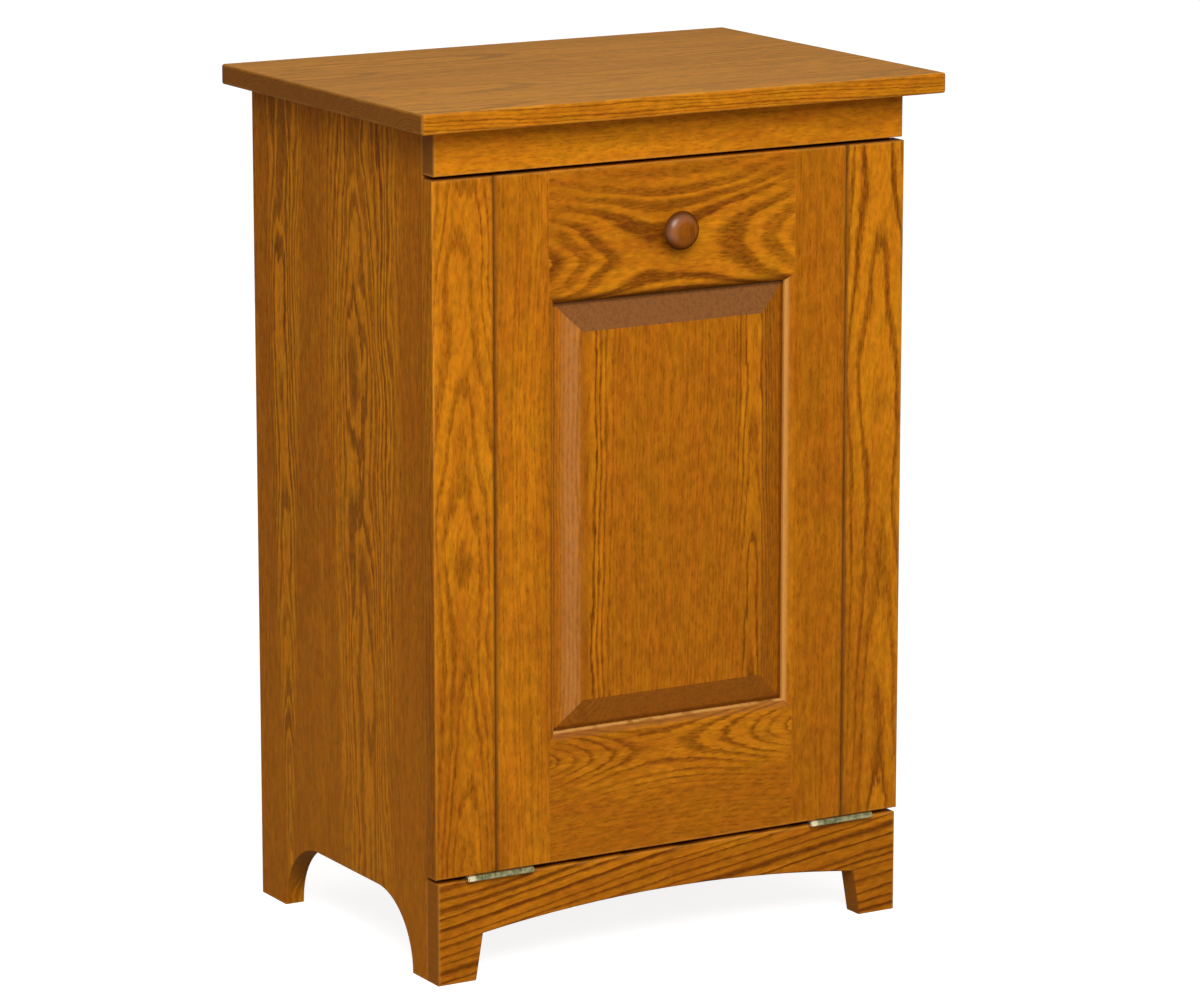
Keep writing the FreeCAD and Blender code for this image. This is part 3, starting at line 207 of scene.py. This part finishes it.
# Edges rubbed by hands and cloths: the mask is 1 along the twelve edges of a board's box.
rubbed_edges, given, result = open_group(
    "rubbed_edges", [("Place", "Vector"), ("Centre", "Vector"), ("Half", "Vector"), ("Width", "Float")],
    [("Mask", "Float")])
inset = vectors(rubbed_edges, "SUBTRACT", given["Half"], vectors(
    rubbed_edges, "ABSOLUTE", vectors(rubbed_edges, "SUBTRACT", given["Place"], given["Centre"])))
split = rubbed_edges.nodes.new("ShaderNodeSeparateXYZ")
feed(rubbed_edges, split.inputs[0], inset)
near = figure(rubbed_edges, "ADD", figure(rubbed_edges, "ADD", *split.outputs[:2]), split.outputs[2])
far = figure(rubbed_edges, "MAXIMUM", figure(rubbed_edges, "MAXIMUM", *split.outputs[:2]), split.outputs[2])
near = figure(rubbed_edges, "SUBTRACT", near, far)
patchy = cloudy(rubbed_edges, given["Place"], (34.0, 34.0, 34.0), 3.0, 0.6)
near = figure(rubbed_edges, "DIVIDE", near, figure(rubbed_edges, "MULTIPLY", given["Width"], patchy))
feed(rubbed_edges, result["Mask"], figure(rubbed_edges, "SUBTRACT", 1.0, faded(rubbed_edges, near, 0.3, 2.0)))

HONEY = dict(Pale=(0.56, 0.185, 0.0055, 1), Body=(0.4, 0.12, 0.004, 1), Dark=(0.16, 0.04, 0.002, 1),
             Soaked=(0.18, 0.061, 0.009, 1))
HONEY_WORN = (0.66, 0.28, 0.04, 1)
EDGE_WIDTH = 0.003
WHOLE = 20.0
FULL_BLUSH = 1.0
# For each way a board lies: the direction through it, and the direction of its grain.
FACES = {"front": (Vector((0, 1, 0)), Vector((0, 0, 1))), "side": (Vector((-1, 0, 0)), Vector((0, 0, 1))),
         "level": (Vector((0, 0, 1)), Vector((1, 0, 0))), "cross": (Vector((0, 1, 0)), Vector((1, 0, 0))),
         "deep": (Vector((1, 0, 0)), Vector((0, 1, 0)))}


def begin(name):
    """A new material with its Principled shader and object coordinates."""
    finish = bpy.data.materials.new(name)
    finish.use_nodes = True
    tree = finish.node_tree
    shader = tree.nodes["Principled BSDF"]
    return finish, tree, shader, tree.nodes.new("ShaderNodeTexCoord").outputs


def placed(tree, group, **values):
    """A node group set into a material with its own values."""
    step = tree.nodes.new("ShaderNodeGroup")
    step.node_tree = group
    for label, source in values.items():
        feed(tree, step.inputs[label], source)
    return step.outputs


def raised(tree, shader, height, strength, distance):
    """Small relief of a surface."""
    bump = tree.nodes.new("ShaderNodeBump")
    bump.inputs["Strength"].default_value = strength
    bump.inputs["Distance"].default_value = distance
    feed(tree, bump.inputs["Height"], height)
    feed(tree, shader.inputs["Normal"], bump.outputs[0])


def wear(finish, *names):
    """Puts a finish on solids of the frame."""
    for name in names:
        parts[name].data.materials.clear()
        parts[name].data.materials.append(finish)


def boarded(tree, coords, face, heart, twist=0.0):
    """Object coordinates turned into a board's own: across, through and along the grain."""
    through, length = FACES[face]
    length = Matrix.Rotation(math.radians(twist), 3, through) @ length
    mapping = tree.nodes.new("ShaderNodeMapping")
    mapping.vector_type = "TEXTURE"
    mapping.inputs["Location"].default_value = heart
    mapping.inputs["Rotation"].default_value = Matrix(
        (through.cross(length), through, length)).transposed().to_euler()
    feed(tree, mapping.inputs["Vector"], coords["Object"])
    return mapping.outputs[0], vectors(tree, "DOT_PRODUCT", coords["Normal"], length)


def oak_board(name, face, heart, pith, ring, stave=WHOLE, twist=0.0, lean=0.0, bow=0.0, wander=0.03,
              boldness=0.8, breadth=0.0, tone=0.0, gilt=0.2, stain=HONEY, worn=HONEY_WORN, rub=0.3, coat=0.06,
              gloss=0.3):
    """Stained wood for one board: heart is where its rings centre, twist turns the grain on the face."""
    finish, tree, shader, coords = begin(name + "_wood")
    low, high = (Vector(corner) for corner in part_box(name))
    place, end = boarded(tree, coords, face, heart, twist)
    grain = placed(tree, oak_grain, Place=place, End=end, Stave=stave, Pith=pith, Lean=lean, Bow=bow,
                   Ring=ring, Wander=wander, Boldness=boldness, Breadth=breadth, Tone=tone, Gilt=gilt,
                   Blush=FULL_BLUSH, **stain)
    rubbed = placed(tree, rubbed_edges, Place=coords["Object"], Centre=(low + high) / 2,
                    Half=(high - low) / 2, Width=EDGE_WIDTH)
    share = figure(tree, "MULTIPLY", rubbed["Mask"], rub)
    feed(tree, shader.inputs["Base Color"], washed(tree, share, grain["Colour"], worn))
    feed(tree, shader.inputs["Roughness"], grain["Roughness"])
    raised(tree, shader, grain["Relief"], 0.35, 0.0005)
    shader.inputs["Specular IOR Level"].default_value = 0.0
    shader.inputs["Coat Weight"].default_value = coat
    shader.inputs["Coat Roughness"].default_value = gloss
    wear(finish, name)
    return tree, shader, coords


def beyond(board, direction, start, end):
    """A mask that rises from 0 to 1 across a narrow strip of a board."""
    tree, _, coords = board
    return faded(tree, vectors(tree, "DOT_PRODUCT", coords["Object"], direction), start, end)


def turned(board, direction, start, end):
    """A mask for the faces of a board that turn toward a direction."""
    tree, _, coords = board
    return faded(tree, vectors(tree, "DOT_PRODUCT", coords["Normal"], direction), start, end)


def shared(board, first, second):
    """A mask for where two masks meet."""
    return figure(board[0], "MULTIPLY", first, second)


def tinted(board, mask, colour, share=1.0):
    """Lays one more colour over a board's stain, where the mask is."""
    tree, shader, _ = board
    under = shader.inputs["Base Color"].links[0].from_socket
    feed(tree, shader.inputs["Base Color"],
         washed(tree, figure(tree, "MULTIPLY", mask, share), under, colour))


LEFT, RIGHT, FRONT, DOWN, UP = (-1, 0, 0), (1, 0, 0), (0, -1, 0), (0, 0, -1), (0, 0, 1)
SIDE_BOARD = 0.147
SIDE_JOINT = 0.0485
# The boards are counted from this far off, which decides what each of them draws by chance.
BOARD_COUNT = 292
FLOOR_LIGHT_FROM, FLOOR_LIGHT_TO = 0.42, 0.12
for name, x, pith in (("left_side", -0.234, 0.028), ("right_side", 0.234, -0.028)):
    side = oak_board(name, "side", (x, SIDE_JOINT - BOARD_COUNT * SIDE_BOARD, 0.3), pith, 0.0045,
                     stave=SIDE_BOARD, lean=1.3 * pith, wander=0.06, boldness=0.75, breadth=0.15, tone=-0.08,
                     gilt=0.7)
    # The lower part of each side is painted paler: painted light, as if thrown up from the floor.
    tinted(side, beyond(side, DOWN, -FLOOR_LIGHT_FROM, -FLOOR_LIGHT_TO), HONEY["Pale"], 0.2)

# ---- Bottom and back --------------------------------------------------------------------------------------
# Birch plywood left bare. The bottom is housed in grooves of the sides, and the thin back lies in their
# rebates and is nailed on from behind.
BIRCH = dict(Pale=(0.66, 0.48, 0.29, 1), Body=(0.56, 0.38, 0.21, 1), Dark=(0.4, 0.24, 0.12, 1),
             Soaked=(0.4, 0.26, 0.14, 1))
CROSS_PLY = (0.3, 0.185, 0.09, 1)
GLUE_LINE = (0.12, 0.07, 0.035, 1)


def plywood(name, face, heart, layers):
    """Bare plywood: a rotary-cut face veneer, and its layers and glue lines on the sawn edges."""
    finish, tree, shader, coords = begin(name + "_plywood")
    low, high = (Vector(corner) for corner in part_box(name))
    place, _ = boarded(tree, coords, face, heart)
    veneer = placed(tree, oak_grain, Place=place, End=0.0, Stave=WHOLE, Pith=0.3, Lean=0.12, Bow=0.0,
                    Ring=0.016, Wander=0.12, Boldness=0.45, Breadth=0.0, Tone=0.0, Gilt=0.0, Blush=0.4,
                    **BIRCH)
    through = FACES[face][0]
    thickness = abs((high - low).dot(through))
    under = min(low.dot(through), high.dot(through))
    level = figure(tree, "SUBTRACT", vectors(tree, "DOT_PRODUCT", coords["Object"], through), under)
    level = figure(tree, "DIVIDE", level, thickness / layers)
    ply = figure(tree, "FLOOR", level)
    crossed = figure(tree, "PINGPONG", ply, 1.0)
    rim = figure(tree, "ABSOLUTE", figure(tree, "SUBTRACT", figure(tree, "SUBTRACT", level, ply), 0.5))
    edge = washed(tree, crossed, veneer["Colour"], CROSS_PLY)
    edge = washed(tree, faded(tree, rim, 0.38, 0.5), edge, GLUE_LINE)
    facing = figure(tree, "ABSOLUTE", vectors(tree, "DOT_PRODUCT", coords["Normal"], through))
    sawn = figure(tree, "SUBTRACT", 1.0, faded(tree, facing, 0.4, 0.6))
    feed(tree, shader.inputs["Base Color"], washed(tree, sawn, veneer["Colour"], edge))
    feed(tree, shader.inputs["Roughness"], figure(tree, "ADD", veneer["Roughness"], 0.15))
    raised(tree, shader, veneer["Relief"], 0.2, 0.0004)
    shader.inputs["Specular IOR Level"].default_value = 0.2
    wear(finish, name)


BOTTOM_LAYERS, BACK_LAYERS = 7, 3
plywood("bottom_panel", "level", (0.02, 0.03, 0.08), BOTTOM_LAYERS)
plywood("back_panel", "front", (0.03, 0.18, 0.35), BACK_LAYERS)

# ---- Cleats, stretcher and glue blocks --------------------------------------------------------------------
# Bare poplar inside the case: a cleat along each side and a stretcher across the back carry the top, and a
# glue block stiffens each corner behind the apron.
POPLAR = dict(Pale=(0.6, 0.45, 0.27, 1), Body=(0.49, 0.35, 0.19, 1), Dark=(0.3, 0.2, 0.1, 1),
              Soaked=(0.36, 0.25, 0.13, 1))
POPLAR_WORN = (0.64, 0.5, 0.33, 1)


def poplar(name, face, heart):
    """Bare poplar for one piece."""
    oak_board(name, face, heart, 0.03, 0.004, boldness=0.4, stain=POPLAR, worn=POPLAR_WORN, rub=0.4, coat=0.0)


poplar("left_top_cleat", "deep", (-0.18, 0.0, 0.7))
poplar("right_top_cleat", "deep", (0.18, 0.0, 0.7))
poplar("rear_stretcher", "cross", (0.1, 0.2, 0.66))
poplar("left_corner_block", "front", (-0.24, -0.1, 0.0))
poplar("right_corner_block", "front", (0.24, -0.1, 0.0))

# ---- Nails and screws -------------------------------------------------------------------------------------
# Bright zinc-plated steel: nails round the back, and flat-head screws with a cross recess everywhere else.
# The strike plates of the catches are plated alike.
tarnish, given, result = open_group(
    "tarnish", [("Place", "Vector"), ("Amount", "Float")],
    [("Mask", "Float"), ("Roughness", "Float"), ("Relief", "Float")])
patches = cloudy(tarnish, given["Place"], (230.0, 230.0, 230.0), 4.0, 0.65)
scratches = cloudy(tarnish, given["Place"], (900.0, 260.0, 1500.0), 3.0, 0.6)
feed(tarnish, result["Mask"], figure(
    tarnish, "MULTIPLY", faded(tarnish, patches, 0.36, 0.66), given["Amount"]))
feed(tarnish, result["Roughness"], figure(tarnish, "MULTIPLY_ADD", patches, 0.35, 0.2))
feed(tarnish, result["Relief"], figure(tarnish, "MULTIPLY_ADD", scratches, 0.5, patches))


def metal(name, bright, dull, amount, *names):
    """Metal that has dulled in patches and carries fine scratches."""
    finish, tree, shader, coords = begin(name)
    skin = placed(tree, tarnish, Place=coords["Object"], Amount=amount)
    feed(tree, shader.inputs["Base Color"], washed(tree, skin["Mask"], bright, dull))
    feed(tree, shader.inputs["Roughness"], skin["Roughness"])
    raised(tree, shader, skin["Relief"], 0.12, 0.0002)
    shader.inputs["Metallic"].default_value = 1.0
    wear(finish, *names)
    return tree, shader, coords


ZINC, DULL_ZINC = (0.62, 0.64, 0.66, 1), (0.34, 0.35, 0.36, 1)
metal("zinc_plate", ZINC, DULL_ZINC, 0.7, "back_nails", "top_screws", "cleat_screws", "catch_screws",
      "strike_screws", "cradle_cleat_screws", "cradle_screws", "knob_screw", "left_strike_plate",
      "right_strike_plate")

# ---- Fixed front rail and apron ---------------------------------------------------------------------------
# Two oak boards glued over the front edges of the sides: a plain rail under the top, and an apron sawn to a
# shallow arch that ends in two tapered feet.
oak_board("front_rail", "cross", (0.0, -0.1, 0.83), 0.02, 0.0032, wander=0.02, boldness=0.18, tone=-0.2)
apron = oak_board("front_apron", "cross", (0.0, -0.12, 0.4), 0.02, 0.0085, twist=-8.0, wander=0.025,
                  boldness=3.8, tone=0.05)
for direction in (LEFT, RIGHT):
    tinted(apron, turned(apron, direction, 0.9, 0.98), HONEY["Body"], 0.5)

# ---- Top --------------------------------------------------------------------------------------------------
# Solid oak top, glued up from boards that run from side to side, its edges rounded over by hand. Its upper
# face carries a painted sheen, paler and yellower than the rest, and its front edge is slightly darker.
PAINTED_TOP_SHEEN = (0.5, 0.28, 0.08, 1)
TOP_BOARD = 0.093
SQUARE_ON = (0.6, 0.95)
top = oak_board("top_board", "level", (0.1, 0.0, 0.762), 0.06, 0.0035, stave=TOP_BOARD, lean=0.015,
                boldness=0.7)
# Painted sheen on the upper face.
tinted(top, turned(top, UP, *SQUARE_ON), PAINTED_TOP_SHEEN, 0.4)
tinted(top, turned(top, FRONT, *SQUARE_ON), HONEY["Dark"], 0.15)

# ---- Bumpers and catches ----------------------------------------------------------------------------------
# Rubber buttons on the front edges of the sides, and a magnetic catch under the top on each side: a moulded
# brown housing with a ferrite block, screwed to the side.
moulded, given, result = open_group(
    "moulded", [("Place", "Vector")], [("Shade", "Float"), ("Roughness", "Float"), ("Relief", "Float")])
pebble = cloudy(moulded, given["Place"], (1400.0, 1400.0, 1400.0), 2.0, 0.5)
flow = cloudy(moulded, given["Place"], (14.0, 14.0, 14.0), 3.0, 0.5)
scuffs = cloudy(moulded, given["Place"], (300.0, 30.0, 55.0), 3.0, 0.6)
feed(moulded, result["Shade"], figure(
    moulded, "MULTIPLY_ADD", faded(moulded, scuffs, 0.58, 0.7), 0.5, flow))
feed(moulded, result["Roughness"], figure(moulded, "MULTIPLY_ADD", flow, 0.25, 0.32))
feed(moulded, result["Relief"], pebble)


def plastic(name, plain, scuffed, grain, *names):
    """Moulded plastic or rubber with a fine pebbled skin and a few scuffs."""
    finish, tree, shader, coords = begin(name)
    skin = placed(tree, moulded, Place=coords["Object"])
    feed(tree, shader.inputs["Base Color"], washed(tree, skin["Shade"], plain, scuffed))
    feed(tree, shader.inputs["Roughness"], skin["Roughness"])
    raised(tree, shader, skin["Relief"], grain, 0.0002)
    shader.inputs["Specular IOR Level"].default_value = 0.35
    wear(finish, *names)


RUBBER, RUBBER_SCUFFED = (0.47, 0.44, 0.36, 1), (0.38, 0.35, 0.28, 1)
BROWN, BROWN_SCUFFED = (0.085, 0.04, 0.018, 1), (0.14, 0.07, 0.035, 1)
FERRITE, FERRITE_SCUFFED = (0.035, 0.035, 0.038, 1), (0.075, 0.073, 0.07, 1)
plastic("bumper_rubber", RUBBER, RUBBER_SCUFFED, 0.1, "door_bumpers")
plastic("catch_brown", BROWN, BROWN_SCUFFED, 0.25, "left_catch_housing", "right_catch_housing")
plastic("ferrite", FERRITE, FERRITE_SCUFFED, 0.5, "left_catch_magnet", "right_catch_magnet")

# ---- Front frame ------------------------------------------------------------------------------------------
# Framed oak front with an outer board on each side, set off by a fine V line where the stain has gathered.
# A rounded edge is run round the opening: a painted highlight lies on it along the stiles and the bottom
# rail, and painted shade under the top rail.
# Dark stain gathered in joints and pores, also used for painted shade.
GATHERED_STAIN_AND_SHADE = (0.055, 0.016, 0.003, 1)
# Pale colour of a painted highlight.
PAINTED_HIGHLIGHT = (0.8, 0.42, 0.11, 1)
# Darker stain as on end grain, greyed by a painted sheen.
DRUNK_STAIN_AND_SHEEN = (0.22, 0.083, 0.025, 1)
FRONT_Y = -0.157
SEAM = 0.1765
SEAM_REACH = 0.004
SEAM_SHARE = 0.7


def broken(board, stretch, low, high):
    """A patchy mask, for painted highlights and sheen, and for flecks and pores, here and there."""
    tree, _, coords = board
    return faded(tree, cloudy(tree, coords["Object"], stretch), low, high)


left_outer = oak_board("left_outer_stile", "front", (-0.208, FRONT_Y, 0.35), 0.03, 0.005, lean=0.05,
                       wander=0.035, boldness=0.55, tone=0.1, rub=0.2)
right_outer = oak_board("right_outer_stile", "front", (0.212, FRONT_Y, 0.45), 0.028, 0.007, lean=0.04,
                        wander=0.035, boldness=0.8)
left_stile = oak_board("left_stile", "front", (-0.3, -0.15, 0.4), 0.02, 0.006, wander=0.035, boldness=1.1)
right_stile = oak_board("right_stile", "front", (0.3, -0.15, 0.4), 0.02, 0.006, wander=0.035, boldness=0.7,
                        tone=0.04)
for outward, inward, outer, inner in (
        (LEFT, RIGHT, left_outer, left_stile), (RIGHT, LEFT, right_outer, right_stile)):
    tinted(outer, beyond(outer, inward, -SEAM - SEAM_REACH, -SEAM), GATHERED_STAIN_AND_SHADE, SEAM_SHARE)
    tinted(inner, beyond(inner, outward, SEAM - SEAM_REACH, SEAM), GATHERED_STAIN_AND_SHADE, SEAM_SHARE)
    # The outer edge faces of the front are painted darker: painted shade.
    tinted(outer, turned(outer, outward, *SQUARE_ON), HONEY["Dark"], 0.3)
    # The rounded inner edge of each stile carries a painted highlight.
    tinted(inner, turned(inner, inward, 0.55, 0.85), PAINTED_HIGHLIGHT, 0.57)
top_rail = oak_board("door_top_rail", "cross", (0.012, FRONT_Y, 0.625), 0.052, 0.0095, bow=-1.9, wander=0.042,
                     boldness=0.85, breadth=0.22, tone=0.08)
bottom_rail = oak_board("door_bottom_rail", "cross", (0.005, FRONT_Y, 0.186), 0.031, 0.0045, bow=-1.5,
                        wander=0.02, boldness=0.7, tone=0.1)
# The rounded edge under the top rail is painted darker: painted shade.
tinted(top_rail, turned(top_rail, DOWN, 0.25, 0.75), GATHERED_STAIN_AND_SHADE, 0.4)
# Where the bottom rail's rounded edge turns up it has a painted greyish sheen, and where it faces up a patchy
# painted highlight.
tinted(bottom_rail, turned(bottom_rail, UP, 0.25, 0.5), DRUNK_STAIN_AND_SHEEN, 0.5)
highlight_patches = broken(bottom_rail, (70.0, 70.0, 70.0), 0.3, 0.55)
tinted(bottom_rail, shared(bottom_rail, turned(bottom_rail, UP, 0.7, 0.88), highlight_patches), PAINTED_HIGHLIGHT, 0.65)

# ---- Raised panel -----------------------------------------------------------------------------------------
# Oak panel held loose in grooves of the frame, bevelled on all four sides. The bevels above and below cut
# across the grain, so they have drunk more stain, and the top one also carries a painted greyish sheen. The
# left bevel carries a painted sheen, the right one painted shade, and a dark line painted round the edge is
# stain gathered in the groove together with painted shade.
SHEEN = (0.42, 0.178, 0.056, 1)
REDDISH = (0.31, 0.088, 0.006, 1)
PANEL_BOARD = 0.165
BEVELLED = (0.15, 0.3)
PORE_PATCHES = (0.42, 0.66)
panel = oak_board("door_panel", "front", (-BOARD_COUNT * PANEL_BOARD, FRONT_Y, 0.5), 0.016, 0.0036,
                  stave=PANEL_BOARD, lean=0.01, boldness=0.85, tone=0.24, gilt=0.35, rub=0.0)
left_bevel = turned(panel, LEFT, *BEVELLED)
dark_flecks = shared(panel, left_bevel, broken(panel, (420.0, 420.0, 110.0), 0.48, 0.7))
bright_strip = shared(panel, beyond(panel, RIGHT, -0.113, -0.102), beyond(panel, LEFT, 0.086, 0.1))
bright_flecks = figure(panel[0], "MULTIPLY_ADD", broken(panel, (330.0, 330.0, 140.0), 0.3, 0.65), 0.45, 0.55)
bright = shared(panel, shared(panel, left_bevel, bright_strip), bright_flecks)
crown_foot = shared(panel, beyond(panel, RIGHT, -0.0935, -0.0915), beyond(panel, LEFT, 0.079, 0.088))
tinted(panel, left_bevel, HONEY["Body"], 0.35)
tinted(panel, dark_flecks, HONEY["Dark"], 0.25)
# Patchy painted sheen on the left bevel.
tinted(panel, bright, SHEEN, 0.6)
tinted(panel, crown_foot, HONEY["Dark"], 0.4)
top_bevel = turned(panel, UP, *BEVELLED)
top_pores = shared(panel, top_bevel, broken(panel, (330.0, 330.0, 330.0), *PORE_PATCHES))
# The top bevel takes end-grain stain with a painted greyish sheen over it.
tinted(panel, top_bevel, DRUNK_STAIN_AND_SHEEN, 0.85)
tinted(panel, top_pores, GATHERED_STAIN_AND_SHADE, 0.22)
bottom_bevel = turned(panel, DOWN, *BEVELLED)
bottom_pores = shared(panel, bottom_bevel, broken(panel, (160.0, 330.0, 330.0), *PORE_PATCHES))
tinted(panel, bottom_bevel, REDDISH, 0.6)
tinted(panel, bottom_pores, GATHERED_STAIN_AND_SHADE, 0.16)
# The right bevel is painted darker: painted shade.
tinted(panel, turned(panel, RIGHT, *BEVELLED), GATHERED_STAIN_AND_SHADE, 0.12)
LINE_START, LINE_END = 0.0045, 0.002
# A dark line round the panel's edge: stain gathered in the groove, and painted shade.
for direction, reach, share in (
        (LEFT, 0.1162, 0.12), (RIGHT, 0.1162, 0.5), (UP, 0.586, 0.5), (DOWN, -0.2101, 0.5)):
    tinted(panel, beyond(panel, direction, reach - LINE_START, reach - LINE_END), GATHERED_STAIN_AND_SHADE, share)

# ---- Knob -------------------------------------------------------------------------------------------------
# Turned hardwood knob, stained a shade darker and polished. The polish is worn off where thumb and fingers
# come, and a screw from behind the rail holds the knob.
WALNUT = dict(Pale=(0.3, 0.085, 0.005, 1), Body=(0.22, 0.058, 0.004, 1), Dark=(0.11, 0.027, 0.002, 1),
              Soaked=(0.22, 0.058, 0.004, 1))
PAINTED_RIM_SHADE = (0.05, 0.014, 0.003, 1)
KNOB_HEIGHT = 0.6418
LEAST_POLISH, MORE_POLISH = 0.06, 0.8
UNTOUCHED = (-0.6, -0.5, 0.62)
knob = oak_board("knob", "front", (0.02, FRONT_Y, 0.62), 0.03, 0.003, boldness=0.4, stain=WALNUT, rub=0.0,
                 gloss=0.32)
tree, shader, coords = knob
off_axis = vectors(tree, "SUBTRACT", coords["Object"], (0.0, 0.0, KNOB_HEIGHT))
off_axis = vectors(tree, "LENGTH", vectors(tree, "MULTIPLY", off_axis, (1.0, 0.0, 1.0)))
# The knob's rim is painted darker all round: painted shade.
tinted(knob, faded(tree, off_axis, 0.0105, 0.0165), PAINTED_RIM_SHADE, 0.75)
polish = shared(knob, faded(tree, off_axis, 0.0065, 0.01), turned(knob, UNTOUCHED, 0.3, 0.75))
feed(tree, shader.inputs["Coat Weight"], figure(tree, "MULTIPLY_ADD", polish, MORE_POLISH, LEAST_POLISH))

# ---- Hinges -----------------------------------------------------------------------------------------------
# Two brass butt hinges in the gap under the front, each with five knuckles on a headed pin. The brass has
# gone dull and greenish.
BRASS, DULL_BRASS, PAINTED_TIP_GLINT = (0.3, 0.285, 0.15, 1), (0.11, 0.115, 0.052, 1), (0.75, 0.68, 0.45, 1)
TIP_START, TIP_END = 0.008, 0.004
for hand, hinge_start in (("left", -0.20625), ("right", 0.14275)):
    brass = metal(hand + "_brass", BRASS, DULL_BRASS, 0.95, hand + "_hinge_case_leaf",
                  hand + "_hinge_door_leaf", hand + "_hinge_pin")
    # A painted glint on the left end of each hinge.
    tinted(brass, beyond(brass, LEFT, -hinge_start - TIP_START, -hinge_start - TIP_END), PAINTED_TIP_GLINT, 0.8)
wear(bpy.data.materials["left_brass"], "hinge_case_screws", "hinge_door_screws")

# ---- Cradle -----------------------------------------------------------------------------------------------
# Plywood cradle on the back of the front: a floor, two sides that rise to hooks, and two slats behind the
# bin, screwed together and to a poplar cleat along each stile.
CRADLE_LAYERS = 9
plywood("cradle_floor", "level", (0.05, 0.0, 0.11), CRADLE_LAYERS)
plywood("cradle_left_side", "side", (-0.19, 0.05, 0.2), CRADLE_LAYERS)
plywood("cradle_right_side", "side", (0.19, 0.02, 0.25), CRADLE_LAYERS)
plywood("cradle_lower_slat", "cross", (0.05, 0.11, 0.16), CRADLE_LAYERS)
plywood("cradle_upper_slat", "cross", (-0.05, 0.11, 0.54), CRADLE_LAYERS)
poplar("cradle_left_cleat", "front", (-0.23, -0.13, 0.2))
poplar("cradle_right_cleat", "front", (0.23, -0.13, 0.2))

# ---- Bin --------------------------------------------------------------------------------------------------
# Plastic bin moulded in an almond colour, with tapered walls and a turned-down rim. It stands loose on the
# cradle floor.
ALMOND, ALMOND_SCUFFED = (0.62, 0.585, 0.49, 1), (0.54, 0.5, 0.41, 1)
plastic("bin_almond", ALMOND, ALMOND_SCUFFED, 0.25, "waste_bin")

# ---- Floor, light and camera ------------------------------------------------------------------------------
# A pale matt floor that runs out of sight, one wide soft lamp in front to the left, and a white surround.
# None of it belongs to the cabinet.
FLOOR_SIZE = 30.0
FLOOR_GREY = (0.5, 0.5, 0.5, 1)
FLOOR_GLOW = 0.85
floor = bpy.data.objects.new("floor", bpy.data.meshes.new("floor"))
sheet = bmesh.new()
bmesh.ops.create_grid(sheet, x_segments=1, y_segments=1, size=FLOOR_SIZE)
sheet.to_mesh(floor.data)
sheet.free()
bpy.context.scene.collection.objects.link(floor)


def seen_directly(tree):
    """1 where the camera, a reflection or glass looks at the surface, 0 for light that bounces."""
    path = tree.nodes.new("ShaderNodeLightPath").outputs
    mirrored = figure(tree, "MAXIMUM", path["Is Camera Ray"], path["Is Glossy Ray"])
    return figure(tree, "MAXIMUM", mirrored, path["Is Transmission Ray"])


floor_paint, tree, shader, _ = begin("floor_paint")
tree.nodes.remove(shader)
matt = tree.nodes.new("ShaderNodeBsdfDiffuse")
matt.inputs["Color"].default_value = FLOOR_GREY
glow = tree.nodes.new("ShaderNodeEmission")
feed(tree, glow.inputs["Strength"], figure(tree, "MULTIPLY", seen_directly(tree), FLOOR_GLOW))
both = tree.nodes.new("ShaderNodeAddShader")
tree.links.new(matt.outputs[0], both.inputs[0])
tree.links.new(glow.outputs[0], both.inputs[1])
tree.links.new(both.outputs[0], tree.nodes["Material Output"].inputs["Surface"])
floor.data.materials.append(floor_paint)

FILL = 0.4
CABINET_MIDDLE = Vector((0, 0, 0.4))
world = bpy.data.worlds.new("surround")
bpy.context.scene.world = world
world.use_nodes = True
tree = world.node_tree
background = tree.nodes["Background"]
background.inputs["Color"].default_value = (1, 1, 1, 1)
feed(tree, background.inputs["Strength"], figure(tree, "MULTIPLY_ADD", seen_directly(tree), 1 - FILL, FILL))


def lamp(name, azimuth, elevation, distance, size, watts):
    """A square soft lamp that looks at the middle of the cabinet."""
    light = bpy.data.lights.new(name, "AREA")
    light.shape = "SQUARE"
    light.size = size
    light.energy = watts
    holder = bpy.data.objects.new(name, light)
    bpy.context.scene.collection.objects.link(holder)
    a, e = math.radians(azimuth), math.radians(elevation)
    back = Vector((math.sin(a) * math.cos(e), -math.cos(a) * math.cos(e), math.sin(e)))
    holder.location = CABINET_MIDDLE + back * distance
    holder.rotation_euler = back.to_track_quat("Z", "Y").to_euler()


lamp("front_lamp", azimuth=-25.0, elevation=35.0, distance=2.8, size=1.4, watts=66.0)

CAMERA_DOWN, CAMERA_ASIDE = 12.175, 30.318
camera = bpy.data.objects.new("camera", bpy.data.cameras.new("camera"))
bpy.context.scene.collection.objects.link(camera)
bpy.context.scene.camera = camera
camera.location = (-2.3365, -4.0277, 1.3788)
camera.rotation_euler = (math.radians(90 - CAMERA_DOWN), 0, math.radians(-CAMERA_ASIDE))
camera.data.lens = 160.03
camera.data.sensor_width = 36.0
camera.data.clip_end = 200.0
bpy.context.scene.view_settings.view_transform = "Standard"
